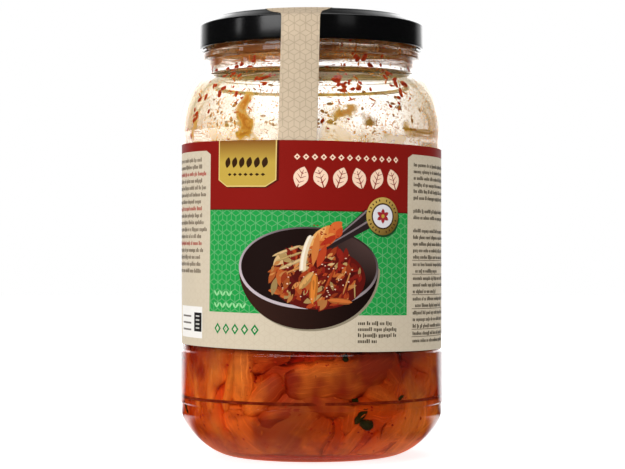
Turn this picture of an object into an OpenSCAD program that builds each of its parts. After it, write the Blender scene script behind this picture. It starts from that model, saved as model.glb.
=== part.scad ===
// A full kimchi jar: a round wide-mouth glass jar with a lug lid, a wrapped paper label
// and a paper seal strip that runs from the label over the lid.
// Millimetres. +Z is up, the origin is the centre of the base, and the front faces -Y.

/* [Glass jar] */
// Outer diameter of the body at its lower bumper
body_d = 108.4; // [90:0.2:132]
// Height of the glass from the table to the lip
glass_h = 178.2; // [148:0.1:216]
// Thickness of the side wall
wall_t = 2.6; // [2:0.05:3.4]
// Thickness of the base where it meets the heel
base_t = 4.6; // [4:0.1:6.5]
// Outer diameter of the flat ring that the jar stands on
foot_d = 68.4; // [56:0.2:76]
// Width of that ring
foot_w = 3; // [2:0.1:4]
// Height of the hollow under the base
punt_h = 2; // [1:0.1:2.6]
// Height of the rounded heel
heel_h = 17.8; // [14:0.1:20]
// How square the heel's curve is
heel_power = 1.3; // [1:0.05:1.5]
// Height of the small ledge between the heel and the lower bumper
ledge_z = 22.5; // [21:0.1:26]
// How far the ledge stands out
ledge_step = 0.5; // [0.2:0.05:0.8]

/* [Label panel] */
// Height of the panel's lower edge
panel_z = 43.6; // [36:0.1:52]
// How deep the panel is sunk below the lower bumper
panel_depth = 0.65; // [0.4:0.05:1]
// Distance from the panel's upper edge to the lip
panel_to_lip = 49.3; // [46:0.1:56]
// How far the upper bumper stays inside the lower one
upper_bumper_in = 0.25; // [0:0.05:0.4]
// Height of the slope from the panel to the upper bumper
bumper_rise = 4; // [2:0.1:5]

/* [Shoulder and finish] */
// Height of the rounded shoulder
shoulder_h = 24.5; // [20:0.1:26]
// Outer diameter of the neck below the bead
neck_d = 85.8; // [80:0.2:87]
// Height of the bead above the neck's foot
bead_h = 3.5; // [2.5:0.1:4]
// How far the bead stands out from the neck
bead_out = 2.5; // [1.5:0.1:3]
// Outer diameter of the finish that the lid goes over
finish_d = 85.8; // [80:0.2:87]
// Height of the finish from the bead to the lip
finish_h = 12.3; // [11.5:0.1:15]
// Thickness of the glass at the mouth
finish_t = 3.4; // [2.6:0.1:4]
// How far the thread ridges stand out
thread_out = 1.4; // [1:0.05:1.5]
// Number of thread ridges, and of lugs on the lid
lug_n = 6; // [4:1:8]

/* [Lid] */
// Outer diameter of the lid
lid_d = 93.6; // [92.8:0.1:98]
// Thickness of the lid's sheet metal
metal_t = 0.4; // [0.25:0.05:0.6]
// Thickness of the sealing ring between the lip and the metal
liner_t = 1.4; // [1:0.05:1.6]
// Height of the lid's straight skirt
skirt_h = 9.2; // [8:0.1:9.8]
// Radius of the rolled hem at the skirt's foot
hem_r = 0.8; // [0.6:0.05:0.9]
// How far the centre panel lies below the raised ring
panel_drop = 0.8; // [0.5:0.05:1]
// Diameter of the centre panel
lid_panel_d = 75; // [66:0.5:78]
// Diameter of the safety button in the centre
button_d = 28; // [20:0.5:32]
// Depth of the button
button_drop = 0.5; // [0.3:0.05:0.7]

/* [Contents] */
// Distance from the panel's upper edge down to the top of the kimchi
fill_drop = 4.6; // [2:0.1:30]
// Height of the lumps on top
lump_h = 2.4; // [0.5:0.1:4]
// Number of lumps
lump_n = 9; // [4:1:14]

/* [Paper] */
// Thickness of the label
label_t = 0.15; // [0.1:0.01:0.2]
// Distance from the panel's lower edge to the label
label_low_gap = 1.4; // [1.2:0.1:4]
// Distance from the label's upper edge to the panel's upper edge
label_top_gap = 2.2; // [1.2:0.1:6]
// How far the label is put on askew, in degrees
label_skew = 1.1; // [0:0.1:1.2]
// Gap between the label's two ends at the back
label_end_gap = 10; // [3:0.5:30]
// Thickness of the seal strip
strip_t = 0.12; // [0.08:0.01:0.16]
// Width of the seal strip
strip_w = 15.1; // [10:0.1:22]
// Sideways place of the strip at the label's upper edge
strip_x = -5.4; // [-12:0.1:12]
// How far the strip leans, in degrees
strip_lean = 1.4; // [-3:0.1:3]
// Length of the strip that is tucked under the label
strip_tuck = 6; // [3:0.5:12]
// Radius of the flare where the strip widens at the lid's edge
flare_r = 6.1; // [4:0.1:9]
// Height over which it widens
flare_h = 4.8; // [2:0.1:6]
// Radius of the strip's round end on top of the lid
tab_r = 15; // [12:0.5:16]

/* [Hidden] */

$fn = 96;
ARC_STEPS = 14;      // straight pieces along each large arc of a profile
CORNER_STEPS = 4;    // straight pieces along each small rounded corner
PAPER_GAP = 0.02;    // clearance under each layer of paper
LUG_GAP = 0.5;       // height between a lug and the thread ridge above it
SIDE_GAP = 0.6;      // clearance between a lug and the finish
GOLDEN_ANGLE = 137.5;

// Glass radii
body_r = body_d / 2;
panel_r = body_r - panel_depth;
inner_r = panel_r - wall_t;
upper_r = body_r - upper_bumper_in;
heel_out_r = body_r - ledge_step;
foot_r = foot_d / 2;
neck_r = neck_d / 2;
finish_r = finish_d / 2;
mouth_r = finish_r - finish_t;
thread_r = finish_r + thread_out;

// Glass heights
ledge_h = 1.3;
panel_fall = 0.7;
panel_top = glass_h - panel_to_lip;
bumper_z = panel_top + bumper_rise;
shoulder_end = 78;                                 // degrees of the shoulder's arc
shoulder_cr = neck_r - 2.6;                        // radius of its arc's centre
bead_z1 = glass_h - finish_h;
bead_z0 = bead_z1 - bead_h;
neck_z = bead_z0 - 3.5;
lip_r = 1.4;
bead_corner = 0.8;

// The inside of the heel and base
inner_heel_h = heel_h - 2.8;
inner_foot_r = foot_r - 1.2;
inner_dome = 1.2;

// Lid
lid_r = lid_d / 2;
lid_top = glass_h + liner_t + metal_t;
skirt_top = lid_top - 3.6;
lid_z = skirt_top - skirt_h;
hem_z = lid_z + hem_r;
ring_r = lid_r - 6.2;                              // top of the raised ring
panel_face = lid_top - panel_drop;
lug_z1 = lid_z + 2.2;
thread_z = lug_z1 + LUG_GAP;

// Paper
strip_face = panel_r + PAPER_GAP;
label_face = strip_face + strip_t + PAPER_GAP;
label_z0 = panel_z + label_low_gap;
label_z1 = panel_top - label_top_gap;

fill_z = panel_top - fill_drop;

// Points along an elliptical arc in a profile of [radius, height]
function arc(centre, rr, rz, from, to, steps = ARC_STEPS) =
    [for (i = [0:steps])
        let (a = from + (to - from) * i / steps)
        [centre[0] + rr * cos(a), centre[1] + rz * sin(a)]];

// A heel's curve from the foot, level at first, up to the wall, upright at last
function heel(r0, r1, z0, h) =
    [for (i = [0:ARC_STEPS])
        let (a = 90 * i / ARC_STEPS)
        [r0 + (r1 - r0) * pow(sin(a), heel_power), z0 + h * (1 - pow(cos(a), heel_power))]];

// A shallow dome from the axis out to radius r
function dome(r, z, h, power) =
    [for (i = [0:CORNER_STEPS * 2])
        let (s = i / (CORNER_STEPS * 2))
        [r * s, z + h * (1 - pow(s, power))]];

function reversed(points) = [for (i = [len(points) - 1:-1:0]) points[i]];

// The unit normal on the left of the step from a to b, turned outwards
function outward(a, b) =
    let (d = b - a, n = [d[1], -d[0]])
    n / norm(n);

// A profile moved outwards by a distance, mitred at each corner
function moved_out(points, distance) =
    [for (i = [0:len(points) - 1])
        let (
            before = outward(points[max(i - 1, 0)], points[max(i, 1)]),
            after = outward(points[min(i, len(points) - 2)], points[min(i + 1, len(points) - 1)]),
            sum = before + after
        )
        points[i] + sum * distance * 2 / (sum * sum)];

// Inside of the glass from the axis up to the straight wall
inner_base = concat(
    dome(inner_foot_r, base_t, inner_dome, 2),
    heel(inner_foot_r, inner_r, base_t, inner_heel_h)
);

// Inside of the shoulder, from the straight wall up to the mouth's bore
inner_shoulder_cr = mouth_r - 2;
inner_shoulder = arc(
    [inner_shoulder_cr, bumper_z], inner_r - inner_shoulder_cr, shoulder_h - wall_t,
    0, acos(2 / (inner_r - inner_shoulder_cr))
);

// Outside of the shoulder
outer_shoulder = arc([shoulder_cr, bumper_z], upper_r - shoulder_cr, shoulder_h, 0, shoulder_end);

module glass_profile() {
    outer = concat(
        dome(foot_r - foot_w, 0, punt_h, 3),
        heel(foot_r, heel_out_r, 0, heel_h),
        [
            [heel_out_r, ledge_z - ledge_h],
            [body_r, ledge_z],
            [body_r, panel_z - panel_fall],
            [panel_r, panel_z],
            [panel_r, panel_top]
        ],
        outer_shoulder,
        [[neck_r, neck_z], [neck_r, bead_z0]],
        arc([neck_r + bead_out - bead_corner, bead_z0 + bead_corner],
            bead_corner, bead_corner, -90, 0, CORNER_STEPS),
        arc([neck_r + bead_out - bead_corner, bead_z1 - bead_corner],
            bead_corner, bead_corner, 0, 90, CORNER_STEPS),
        [[finish_r, bead_z1]],
        arc([finish_r - lip_r, glass_h - lip_r], lip_r, lip_r, 0, 90, CORNER_STEPS),
        arc([mouth_r + lip_r, glass_h - lip_r], lip_r, lip_r, 90, 180, CORNER_STEPS)
    );
    polygon(concat(outer, reversed(inner_shoulder), reversed(inner_base)));
}

// One ridge of the interrupted thread, or one lug of the lid: part of a ring with its root at
// radius r0 and its narrower edge at radius r1
module ring_piece(r0, r1, z0, z1, length) {
    angle = length / r1 * 180 / PI;
    rotate([0, 0, -angle / 2])
        rotate_extrude(angle = angle)
            polygon([[r0, z0], [r1, z0 + (z1 - z0) * 0.3], [r1, z0 + (z1 - z0) * 0.7], [r0, z1]]);
}

module glass_jar() {
    color([0.86, 0.9, 0.88, 0.35])
        union() {
            rotate_extrude() glass_profile();
            for (i = [0:lug_n - 1])
                rotate([0, 0, 360 / lug_n * i])
                    ring_piece(finish_r - 0.5, thread_r, thread_z, thread_z + 1.8, 24);
        }
}

// The kimchi fills the jar up to its level, with uneven lumps on top
module kimchi() {
    lump_r = 15;
    reach = inner_r - lump_r - 0.5;
    color([0.62, 0.23, 0.11])
        union() {
            rotate_extrude() polygon(concat(inner_base, [[inner_r, fill_z], [0, fill_z]]));
            for (i = [0:lump_n - 1])
                rotate([0, 0, GOLDEN_ANGLE * i])
                    translate([reach * sqrt((i + 0.5) / lump_n), 0,
                               fill_z - lump_r + lump_h * (0.55 + 0.45 * cos(100 * i))])
                        sphere(r = lump_r);
        }
}

// Outside of the lid from the top of its skirt over the ledge and ring to the centre panel
lid_crown = concat(
    arc([lid_r - 1, skirt_top - 0.2], 1, 1, 0, 60, CORNER_STEPS),
    [[ring_r + 2, lid_top - 1.1]],
    arc([ring_r, lid_top - 0.9], 0.9, 0.9, 40, 90, CORNER_STEPS),
    [[lid_panel_d / 2 + 2, lid_top], [lid_panel_d / 2, panel_face]]
);

module lid_profile() {
    hem_start = acos((hem_r - metal_t) / hem_r);
    button_r = button_d / 2;
    panel_under = panel_face - metal_t;
    polygon(concat(
        arc([lid_r - hem_r, hem_z], hem_r, hem_r, hem_start, 360, ARC_STEPS),
        lid_crown,
        [
            [button_r + 2, panel_face],
            [button_r, panel_face - button_drop],
            [0, panel_face - button_drop],
            [0, panel_under - button_drop],
            [button_r, panel_under - button_drop],
            [button_r + 2, panel_under],
            [mouth_r - 1.7, panel_under],
            [mouth_r - 1.2, glass_h],
            [finish_r - 0.3, glass_h],
            [lid_r - 1, skirt_top + 0.3],
            [lid_r - metal_t, skirt_top - 0.4]
        ]
    ));
}

module lid() {
    color([0.04, 0.04, 0.045])
        union() {
            rotate_extrude() lid_profile();
            for (i = [0:lug_n - 1])
                rotate([0, 0, 360 / lug_n * i])
                    ring_piece(lid_r - metal_t / 2, finish_r + SIDE_GAP, lid_z + hem_r / 2, lug_z1, 9);
        }
}

// A block between two heights, tilted with the label
module label_slab() {
    middle = (label_z0 + label_z1) / 2;
    translate([0, 0, middle])
        rotate([0, label_skew, 0])
            difference() {
                cube([body_d * 2, body_d * 2, label_z1 - label_z0], center = true);
                translate([0, body_d / 2, 0])
                    cube([label_end_gap, body_d, body_d * 2], center = true);
            }
}

module label() {
    color([0.85, 0.78, 0.68])
        intersection() {
            difference() {
                cylinder(r = label_face + label_t, h = glass_h);
                translate([0, 0, -1])
                    cylinder(r = label_face, h = glass_h + 2);
            }
            label_slab();
        }
}

// The point of the shoulder's arc where a straight strip to the lid's hem leaves it
hem_seen = [(lid_r - shoulder_cr) / (upper_r - shoulder_cr), (hem_z - bumper_z) / shoulder_h];
leave_angle = max(0, atan2(hem_seen[1], hem_seen[0]) - acos(1 / norm(hem_seen)));

// What the strip lies on: panel, upper bumper, shoulder, a free span, and the lid
strip_path = concat(
    [[panel_r, label_z1 - strip_tuck], [panel_r, panel_top]],
    arc([shoulder_cr, bumper_z], upper_r - shoulder_cr, shoulder_h, 0, leave_angle, CORNER_STEPS * 2),
    [[lid_r, hem_z]],
    lid_crown,
    [[lid_r - tab_r * 2 - 3, panel_face]]
);

module strip_band() {
    rotate([0, 0, -140])
        rotate_extrude(angle = 100)
            polygon(concat(
                moved_out(strip_path, PAPER_GAP),
                reversed(moved_out(strip_path, PAPER_GAP + strip_t))
            ));
}

// The strip's outline from the front, which flares at the top of the lid
module strip_front() {
    start = lid_top - flare_h;
    flare = [for (i = [0:CORNER_STEPS * 2])
        let (z = flare_h * i / (CORNER_STEPS * 2))
        [strip_w / 2 + flare_r - sqrt(flare_r * flare_r - z * z), start - label_z1 + z]];
    left = [for (p = reversed(flare)) [-p[0], p[1]]];
    foot = -strip_tuck * 2;
    translate([strip_x, 0, label_z1])
        rotate([0, strip_lean, 0])
            rotate([90, 0, 0])
                linear_extrude(height = body_d)
                    polygon(concat(
                        [[-strip_w / 2, foot], [strip_w / 2, foot]],
                        flare,
                        [[flare[len(flare) - 1][0], flare[len(flare) - 1][1] + 2]],
                        [[left[0][0], left[0][1] + 2]],
                        left
                    ));
}

module seal_strip() {
    top_x = strip_x + (lid_top - label_z1) * tan(strip_lean);
    front_depth = lid_r - 4;
    color([0.83, 0.76, 0.66])
        intersection() {
            strip_band();
            union() {
                intersection() {
                    strip_front();
                    translate([-body_d, -body_d - front_depth, 0])
                        cube([body_d * 2, body_d, glass_h * 2]);
                }
                translate([top_x, tab_r - lid_r + 0.8, skirt_top + 0.4])
                    cylinder(r = tab_r, h = 10);
            }
        }
}

glass_jar();
kimchi();
lid();
label();
seal_strip();
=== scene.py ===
"""Looks of a full kimchi jar: clear lug-lid jar, wrapped label, seal strip and packed kimchi."""

import logging
import math
import random
from collections.abc import Callable, Iterator, Sequence
from contextlib import contextmanager
from dataclasses import dataclass, field
from enum import Enum
from itertools import product

import bmesh
import bpy
from mathutils import Matrix, Vector, noise


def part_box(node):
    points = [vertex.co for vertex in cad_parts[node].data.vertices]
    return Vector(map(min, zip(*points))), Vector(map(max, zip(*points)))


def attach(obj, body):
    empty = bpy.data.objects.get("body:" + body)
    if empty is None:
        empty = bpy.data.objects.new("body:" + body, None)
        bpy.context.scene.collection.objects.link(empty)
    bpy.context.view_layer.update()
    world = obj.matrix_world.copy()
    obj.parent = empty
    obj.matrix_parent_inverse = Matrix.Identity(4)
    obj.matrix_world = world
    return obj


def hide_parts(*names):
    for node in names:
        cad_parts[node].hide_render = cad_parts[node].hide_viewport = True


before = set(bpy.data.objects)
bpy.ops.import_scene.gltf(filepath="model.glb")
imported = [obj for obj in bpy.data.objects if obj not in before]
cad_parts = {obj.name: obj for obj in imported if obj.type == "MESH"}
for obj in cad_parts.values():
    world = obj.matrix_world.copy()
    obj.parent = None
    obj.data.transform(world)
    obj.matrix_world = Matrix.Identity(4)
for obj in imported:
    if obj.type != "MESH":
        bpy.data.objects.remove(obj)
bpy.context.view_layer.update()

LOG = logging.getLogger("kimchi_jar")
MM = 0.001
ROOT = "root"
PAPER_DEPTH = 0.0002
FOOD_DEPTH = 0.0006
WHITE = (1.0, 1.0, 1.0)

Vec2 = tuple[float, float]
Points = Sequence[Sequence[float]]
Colour = tuple[float, float, float]
Paint = Colour | Callable[[float, float], Colour]
Swell = Callable[[float, float, float], float]


class Slot(Enum):
    """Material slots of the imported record."""

    GLASS = "glass"
    KIMCHI = "kimchi"
    LID = "lid_enamel"
    LABEL = "label_paper"
    STRIP = "strip_paper"


class Layer(Enum):
    """Height of each printed layer over the label's paper, in millimetres."""

    FIELD = 0.02
    SHADE = 0.03
    TEXT = 0.04
    BORDER = 0.045
    FACE = 0.055
    RIM = 0.065
    WELL = 0.075
    FOOD = 0.085
    STICKS = 0.125
    LIFTED = 0.135
    SEAL_SHADE = 0.15
    SEAL_EDGE = 0.16
    SEAL_RING = 0.17
    SEAL_FACE = 0.18
    SEAL_MARK = 0.19


def srgb(red: int, green: int, blue: int) -> Colour:
    """Turn a display colour of 0 to 255 into scene-linear values."""
    shares = (channel / 255.0 for channel in (red, green, blue))
    return tuple(s / 12.92 if s <= 0.04045 else ((s + 0.055) / 1.055) ** 2.4 for s in shares)


def held(share: float) -> float:
    """Keep a share between none and all."""
    return min(1.0, max(0.0, share))


def shaded(dark: Colour, light: Colour, share: Callable[[float, float], float]) -> Paint:
    """A paint that runs from dark to light by a share of each place."""
    return lambda s, t: tuple(a + (b - a) * held(share(s, t)) for a, b in zip(dark, light))


# --- Outlines


def arc(centre: Vec2, reach: float, rise: float, start: float, end: float, steps: int) -> list[Vec2]:
    """Sample an elliptical arc of an outline."""
    angles = [math.radians(start + (end - start) * step / steps) for step in range(steps + 1)]
    return [(centre[0] + reach * math.cos(a), centre[1] + rise * math.sin(a)) for a in angles]


def heel(inner: float, outer: float, foot: float, rise: float, power: float, steps: int) -> list[Vec2]:
    """Sample a heel that leaves the foot level and meets the wall upright."""
    angles = [math.radians(90.0 * step / steps) for step in range(steps + 1)]
    return [(inner + (outer - inner) * math.sin(a) ** power, foot + rise * (1.0 - max(math.cos(a), 0.0) ** power))
            for a in angles]


def dome(reach: float, level: float, rise: float, power: float, steps: int) -> list[Vec2]:
    """Sample a shallow dome from the axis out to its edge."""
    return [(reach * i / steps, level + rise * (1.0 - (i / steps) ** power)) for i in range(steps + 1)]


def softened(outline: Sequence[Vec2], radius: float, least_turn: float = 14.0) -> list[Vec2]:
    """Round each corner of an outline that turns by more than a few degrees.

    Args:
        outline: Points of (radius, height).
        radius: Rounding radius in millimetres.
        least_turn: Corners that turn less than this, in degrees, stay.

    Returns:
        The outline with its corners replaced by short curves.
    """
    result = [outline[0]]
    for before, corner, after in zip(outline, outline[1:], outline[2:]):
        here = Vector(corner)
        into = here - Vector(before)
        out = Vector(after) - here
        if into.length < 1e-9 or out.length < 1e-9:
            continue
        turn = into.angle(out)
        if math.degrees(turn) < least_turn:
            result.append(corner)
            continue
        cut = min(radius * math.tan(min(turn, 2.6) / 2), 0.45 * into.length, 0.45 * out.length)
        first = here - into.normalized() * cut
        last = here + out.normalized() * cut
        for step in range(5):
            t = step / 4
            point = first * (1 - t) ** 2 + here * 2 * t * (1 - t) + last * t ** 2
            result.append((point.x, point.y))
    result.append(outline[-1])
    return result


def radius_at(outline: Sequence[Vec2], height: float) -> float:
    """Read the radius of a rising outline at a height, by straight interpolation."""
    for (r0, z0), (r1, z1) in zip(outline, outline[1:]):
        if z0 <= height <= z1 and z1 > z0:
            return r0 + (r1 - r0) * (height - z0) / (z1 - z0)
    return outline[0][0] if height < outline[0][1] else outline[-1][0]


def on_wall(radius: float, angle: float, height: float) -> Vector:
    """Point in metres at an angle from the front, counted towards +X."""
    return Vector((radius * math.sin(angle), -radius * math.cos(angle), height)) * MM


def swell_share(angle: float, radius: float, count: int, half: float, fade: float) -> float:
    """Share of a swelling that repeats round a circle: full within its half-length, then fading."""
    pitch = 2 * math.pi / count
    around = abs((angle + pitch / 2) % pitch - pitch / 2) * radius
    return max(0.0, 1.0 - max(0.0, around - half) / fade)


def hump(offset: float) -> float:
    """Cross-section of a rounded ridge whose half-width is 1."""
    return max(0.0, 1.0 - offset * offset)


# --- Meshes


@contextmanager
def edited(mesh: bpy.types.Mesh) -> Iterator[bmesh.types.BMesh]:
    """Open a mesh for editing and write it back."""
    work = bmesh.new()
    work.from_mesh(mesh)
    yield work
    work.to_mesh(mesh)
    work.free()


def linked(name: str, mesh: bpy.types.Mesh) -> bpy.types.Object:
    """Put a mesh into the scene as a smooth-shaded object at the origin."""
    mesh.shade_smooth()
    piece = bpy.data.objects.new(name, mesh)
    bpy.context.scene.collection.objects.link(piece)
    return piece


def second_finish(
    piece: bpy.types.Object, first: bpy.types.Material, second: bpy.types.Material,
    chosen: Callable[[Vector, Vector], bool],
) -> None:
    """Dress a piece in one finish, and the faces chosen by middle (mm) and normal in another."""
    for material in (first, second):
        piece.data.materials.append(material)
    for face in piece.data.polygons:
        if chosen(face.center / MM, face.normal):
            face.material_index = 1


def mesh_object(
    name: str, vertices: Points, faces: Sequence[Sequence[int]], sharp_angle: float = 40.0, outward: bool = True
) -> bpy.types.Object:
    """Make a smooth-shaded mesh object at the origin."""
    mesh = bpy.data.meshes.new(name)
    mesh.from_pydata([tuple(v) for v in vertices], [], [tuple(f) for f in faces])
    mesh.validate()
    if outward:
        with edited(mesh) as work:
            bmesh.ops.recalc_face_normals(work, faces=work.faces)
    piece = linked(name, mesh)
    mesh.set_sharp_from_angle(angle=math.radians(sharp_angle))
    return piece


def lathe(
    name: str, outline: Sequence[Vec2], segments: int = 224, closed: bool = False, swell: Swell | None = None,
    sharp_angle: float = 40.0,
) -> bpy.types.Object:
    """Turn an outline about the upright axis.

    Args:
        name: Name of the piece.
        outline: Points of (radius, height) in millimetres.
        segments: Number of steps round the axis.
        closed: Join the last point to the first, for a ring-shaped solid.
        swell: Optional change of radius from (angle, radius, height).
        sharp_angle: Edges sharper than this stay sharp.

    Returns:
        The turned object.
    """
    vertices, rings, faces = [], [], []
    for radius, height in outline:
        count = 1 if radius < 1e-6 else segments
        rings.append(range(len(vertices), len(vertices) + count))
        for angle in (2 * math.pi * step / segments for step in range(count)):
            reach = 0.0 if count == 1 else radius + (swell(angle, radius, height) if swell else 0.0)
            vertices.append((reach * math.cos(angle) * MM, reach * math.sin(angle) * MM, height * MM))
    for low, high in zip(rings, rings[1:] + (rings[:1] if closed else [])):
        for step in range(segments if len(low) + len(high) > 2 else 0):
            after = (step + 1) % segments
            if len(low) == 1:
                faces.append((low[0], high[after], high[step]))
            elif len(high) == 1:
                faces.append((low[step], low[after], high[0]))
            else:
                faces.append((low[step], low[after], high[after], high[step]))
    return mesh_object(name, vertices, faces, sharp_angle)


def sheet_solid(name: str, front: Sequence[Points], back: Sequence[Points]) -> bpy.types.Object:
    """Join two grids of points of the same shape into one thin closed sheet.

    Args:
        name: Name of the piece.
        front: Rows of points on the shown side, in metres.
        back: Rows of points on the hidden side.

    Returns:
        The closed sheet.
    """
    rows, columns = len(front), len(front[0])
    faces = []

    def at(row: int, column: int, side: int) -> int:
        """Number of one grid point."""
        return (side * rows + row) * columns + column

    def edge(first: Sequence[int], second: Sequence[int]) -> None:
        """Close the rim between two neighbouring places."""
        faces.append([at(*first, 0), at(*second, 0), at(*second, 1), at(*first, 1)])

    for row in range(rows - 1):
        for column in range(columns - 1):
            corners = [(row, column), (row, column + 1), (row + 1, column + 1), (row + 1, column)]
            faces.append([at(r, c, 0) for r, c in corners])
            faces.append([at(r, c, 1) for r, c in reversed(corners)])
    for row in range(rows - 1):
        edge((row, 0), (row + 1, 0))
        edge((row + 1, columns - 1), (row, columns - 1))
    for column in range(columns - 1):
        edge((0, column + 1), (0, column))
        edge((rows - 1, column), (rows - 1, column + 1))
    return mesh_object(name, [p for grid in (front, back) for row in grid for p in row], faces, 50.0)


def fix(piece: bpy.types.Object, slot: Slot, material: bpy.types.Material, *nodes: str) -> bpy.types.Object:
    """Dress a piece, seat it on the jar's one body and hide the imported parts it stands for."""
    if material.name not in [m.name for m in piece.data.materials if m]:
        piece.data.materials.clear()
        piece.data.materials.append(material)
    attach(piece, ROOT)
    if nodes:
        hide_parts(*nodes)
    LOG.info("%s: %d faces", piece.name, len(piece.data.polygons))
    return piece


# --- Shader helpers and groups

Input = bpy.types.NodeSocket | float | tuple


class Graph:
    """Adds nodes to one shader or geometry tree and links them in plain calls."""

    def __init__(self, tree: bpy.types.NodeTree) -> None:
        """Keep the tree that the nodes go into."""
        self.tree = tree

    def add(self, kind: str, feeds: dict[str | int, object] | None = None, **settings: object) -> bpy.types.Node:
        """Add a node, set its options, then feed its inputs by name or number."""
        node = self.tree.nodes.new(kind)
        for key, value in settings.items():
            setattr(node, key, value)
        for key, value in (feeds or {}).items():
            self.feed(node.inputs[key], value)
        return node

    def feed(self, target: bpy.types.NodeSocket, value: Input) -> None:
        """Link a socket to an input, or set the input's plain value."""
        if isinstance(value, bpy.types.NodeSocket):
            self.tree.links.new(value, target)
        else:
            target.default_value = (*value, 1.0) if target.type == "RGBA" else value

    def spot(self) -> bpy.types.NodeSocket:
        """Place on the piece, in metres."""
        return self.add("ShaderNodeTexCoord").outputs["Object"]

    def stored(self, name: str, output: str = "Vector") -> bpy.types.NodeSocket:
        """Read an attribute that the piece's mesh stores."""
        return self.add("ShaderNodeAttribute", attribute_name=name).outputs[output]

    def split(self, vector: Input) -> Sequence[bpy.types.NodeSocket]:
        """Take a vector apart."""
        return self.add("ShaderNodeSeparateXYZ", {0: vector}).outputs

    def stretched(self, vector: Input, scale: Colour) -> bpy.types.NodeSocket:
        """Scale a place before it drives a pattern."""
        return self.add("ShaderNodeMapping", {"Vector": vector, "Scale": scale}).outputs[0]

    def math(self, operation: str, *values: Input, clamp: bool = False) -> bpy.types.NodeSocket:
        """Add a Math node on up to three inputs."""
        feeds = dict(enumerate(values))
        return self.add("ShaderNodeMath", feeds, operation=operation, use_clamp=clamp).outputs[0]

    def times(self, first: Input, second: Input) -> bpy.types.NodeSocket:
        """Multiply two values."""
        return self.math("MULTIPLY", first, second)

    def vector(self, operation: str, *values: Input) -> bpy.types.NodeSocket:
        """Add a Vector Math node and return the output that its operation fills."""
        node = self.add("ShaderNodeVectorMath", dict(enumerate(values)), operation=operation)
        return node.outputs["Value" if operation in {"DOT_PRODUCT", "LENGTH"} else "Vector"]

    def ramp(self, value: Input, low: Input, high: Input, out: Vec2 = (0.0, 1.0)) -> bpy.types.NodeSocket:
        """Map a range smoothly to another, clamped at both ends."""
        feeds = {"Value": value, "From Min": low, "From Max": high, "To Min": out[0], "To Max": out[1]}
        return self.add("ShaderNodeMapRange", feeds, interpolation_type="SMOOTHSTEP").outputs[0]

    def noise(self, vector: Input, scale: Input, detail: float = 3.0, rough: float = 0.55) -> bpy.types.NodeSocket:
        """Add a noise texture and return its value."""
        feeds = {"Vector": vector, "Scale": scale, "Detail": detail, "Roughness": rough}
        return self.add("ShaderNodeTexNoise", feeds).outputs[0]

    def mix(self, factor: Input, first: Input, second: Input) -> bpy.types.NodeSocket:
        """Mix two colours."""
        return self.add("ShaderNodeMix", {0: factor, 6: first, 7: second}, data_type="RGBA").outputs[2]

    def either(self, share: Input, first: bpy.types.Node, second: bpy.types.Node) -> bpy.types.NodeSocket:
        """Mix two shaders."""
        return self.add("ShaderNodeMixShader", {0: share, 1: first.outputs[0], 2: second.outputs[0]}).outputs[0]

    def group(self, tree: bpy.types.NodeTree, **values: Input) -> Sequence[bpy.types.NodeSocket]:
        """Place a node group, feed its named inputs and return its outputs."""
        return self.add("ShaderNodeGroup", values, node_tree=tree).outputs

    def bump(self, shader: bpy.types.Node, height: Input, strength: float, distance: float) -> None:
        """Give a shader a relief."""
        feeds = {"Height": height, "Strength": strength, "Distance": distance}
        self.feed(shader.inputs["Normal"], self.add("ShaderNodeBump", feeds).outputs[0])


def new_group(name: str, inputs: dict[str, float | None], outputs: Sequence[str]) -> tuple:
    """Make an empty shader node group with named sockets."""
    tree = bpy.data.node_groups.new(name, "ShaderNodeTree")
    for key, default in inputs.items():
        kind = "NodeSocketVector" if default is None else "NodeSocketFloat"
        socket = tree.interface.new_socket(key, in_out="INPUT", socket_type=kind)
        if default is not None:
            socket.default_value = default
    for key in outputs:
        tree.interface.new_socket(key, in_out="OUTPUT", socket_type="NodeSocketFloat")
    graph = Graph(tree)
    return tree, graph, graph.add("NodeGroupInput").outputs, graph.add("NodeGroupOutput").inputs


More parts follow.
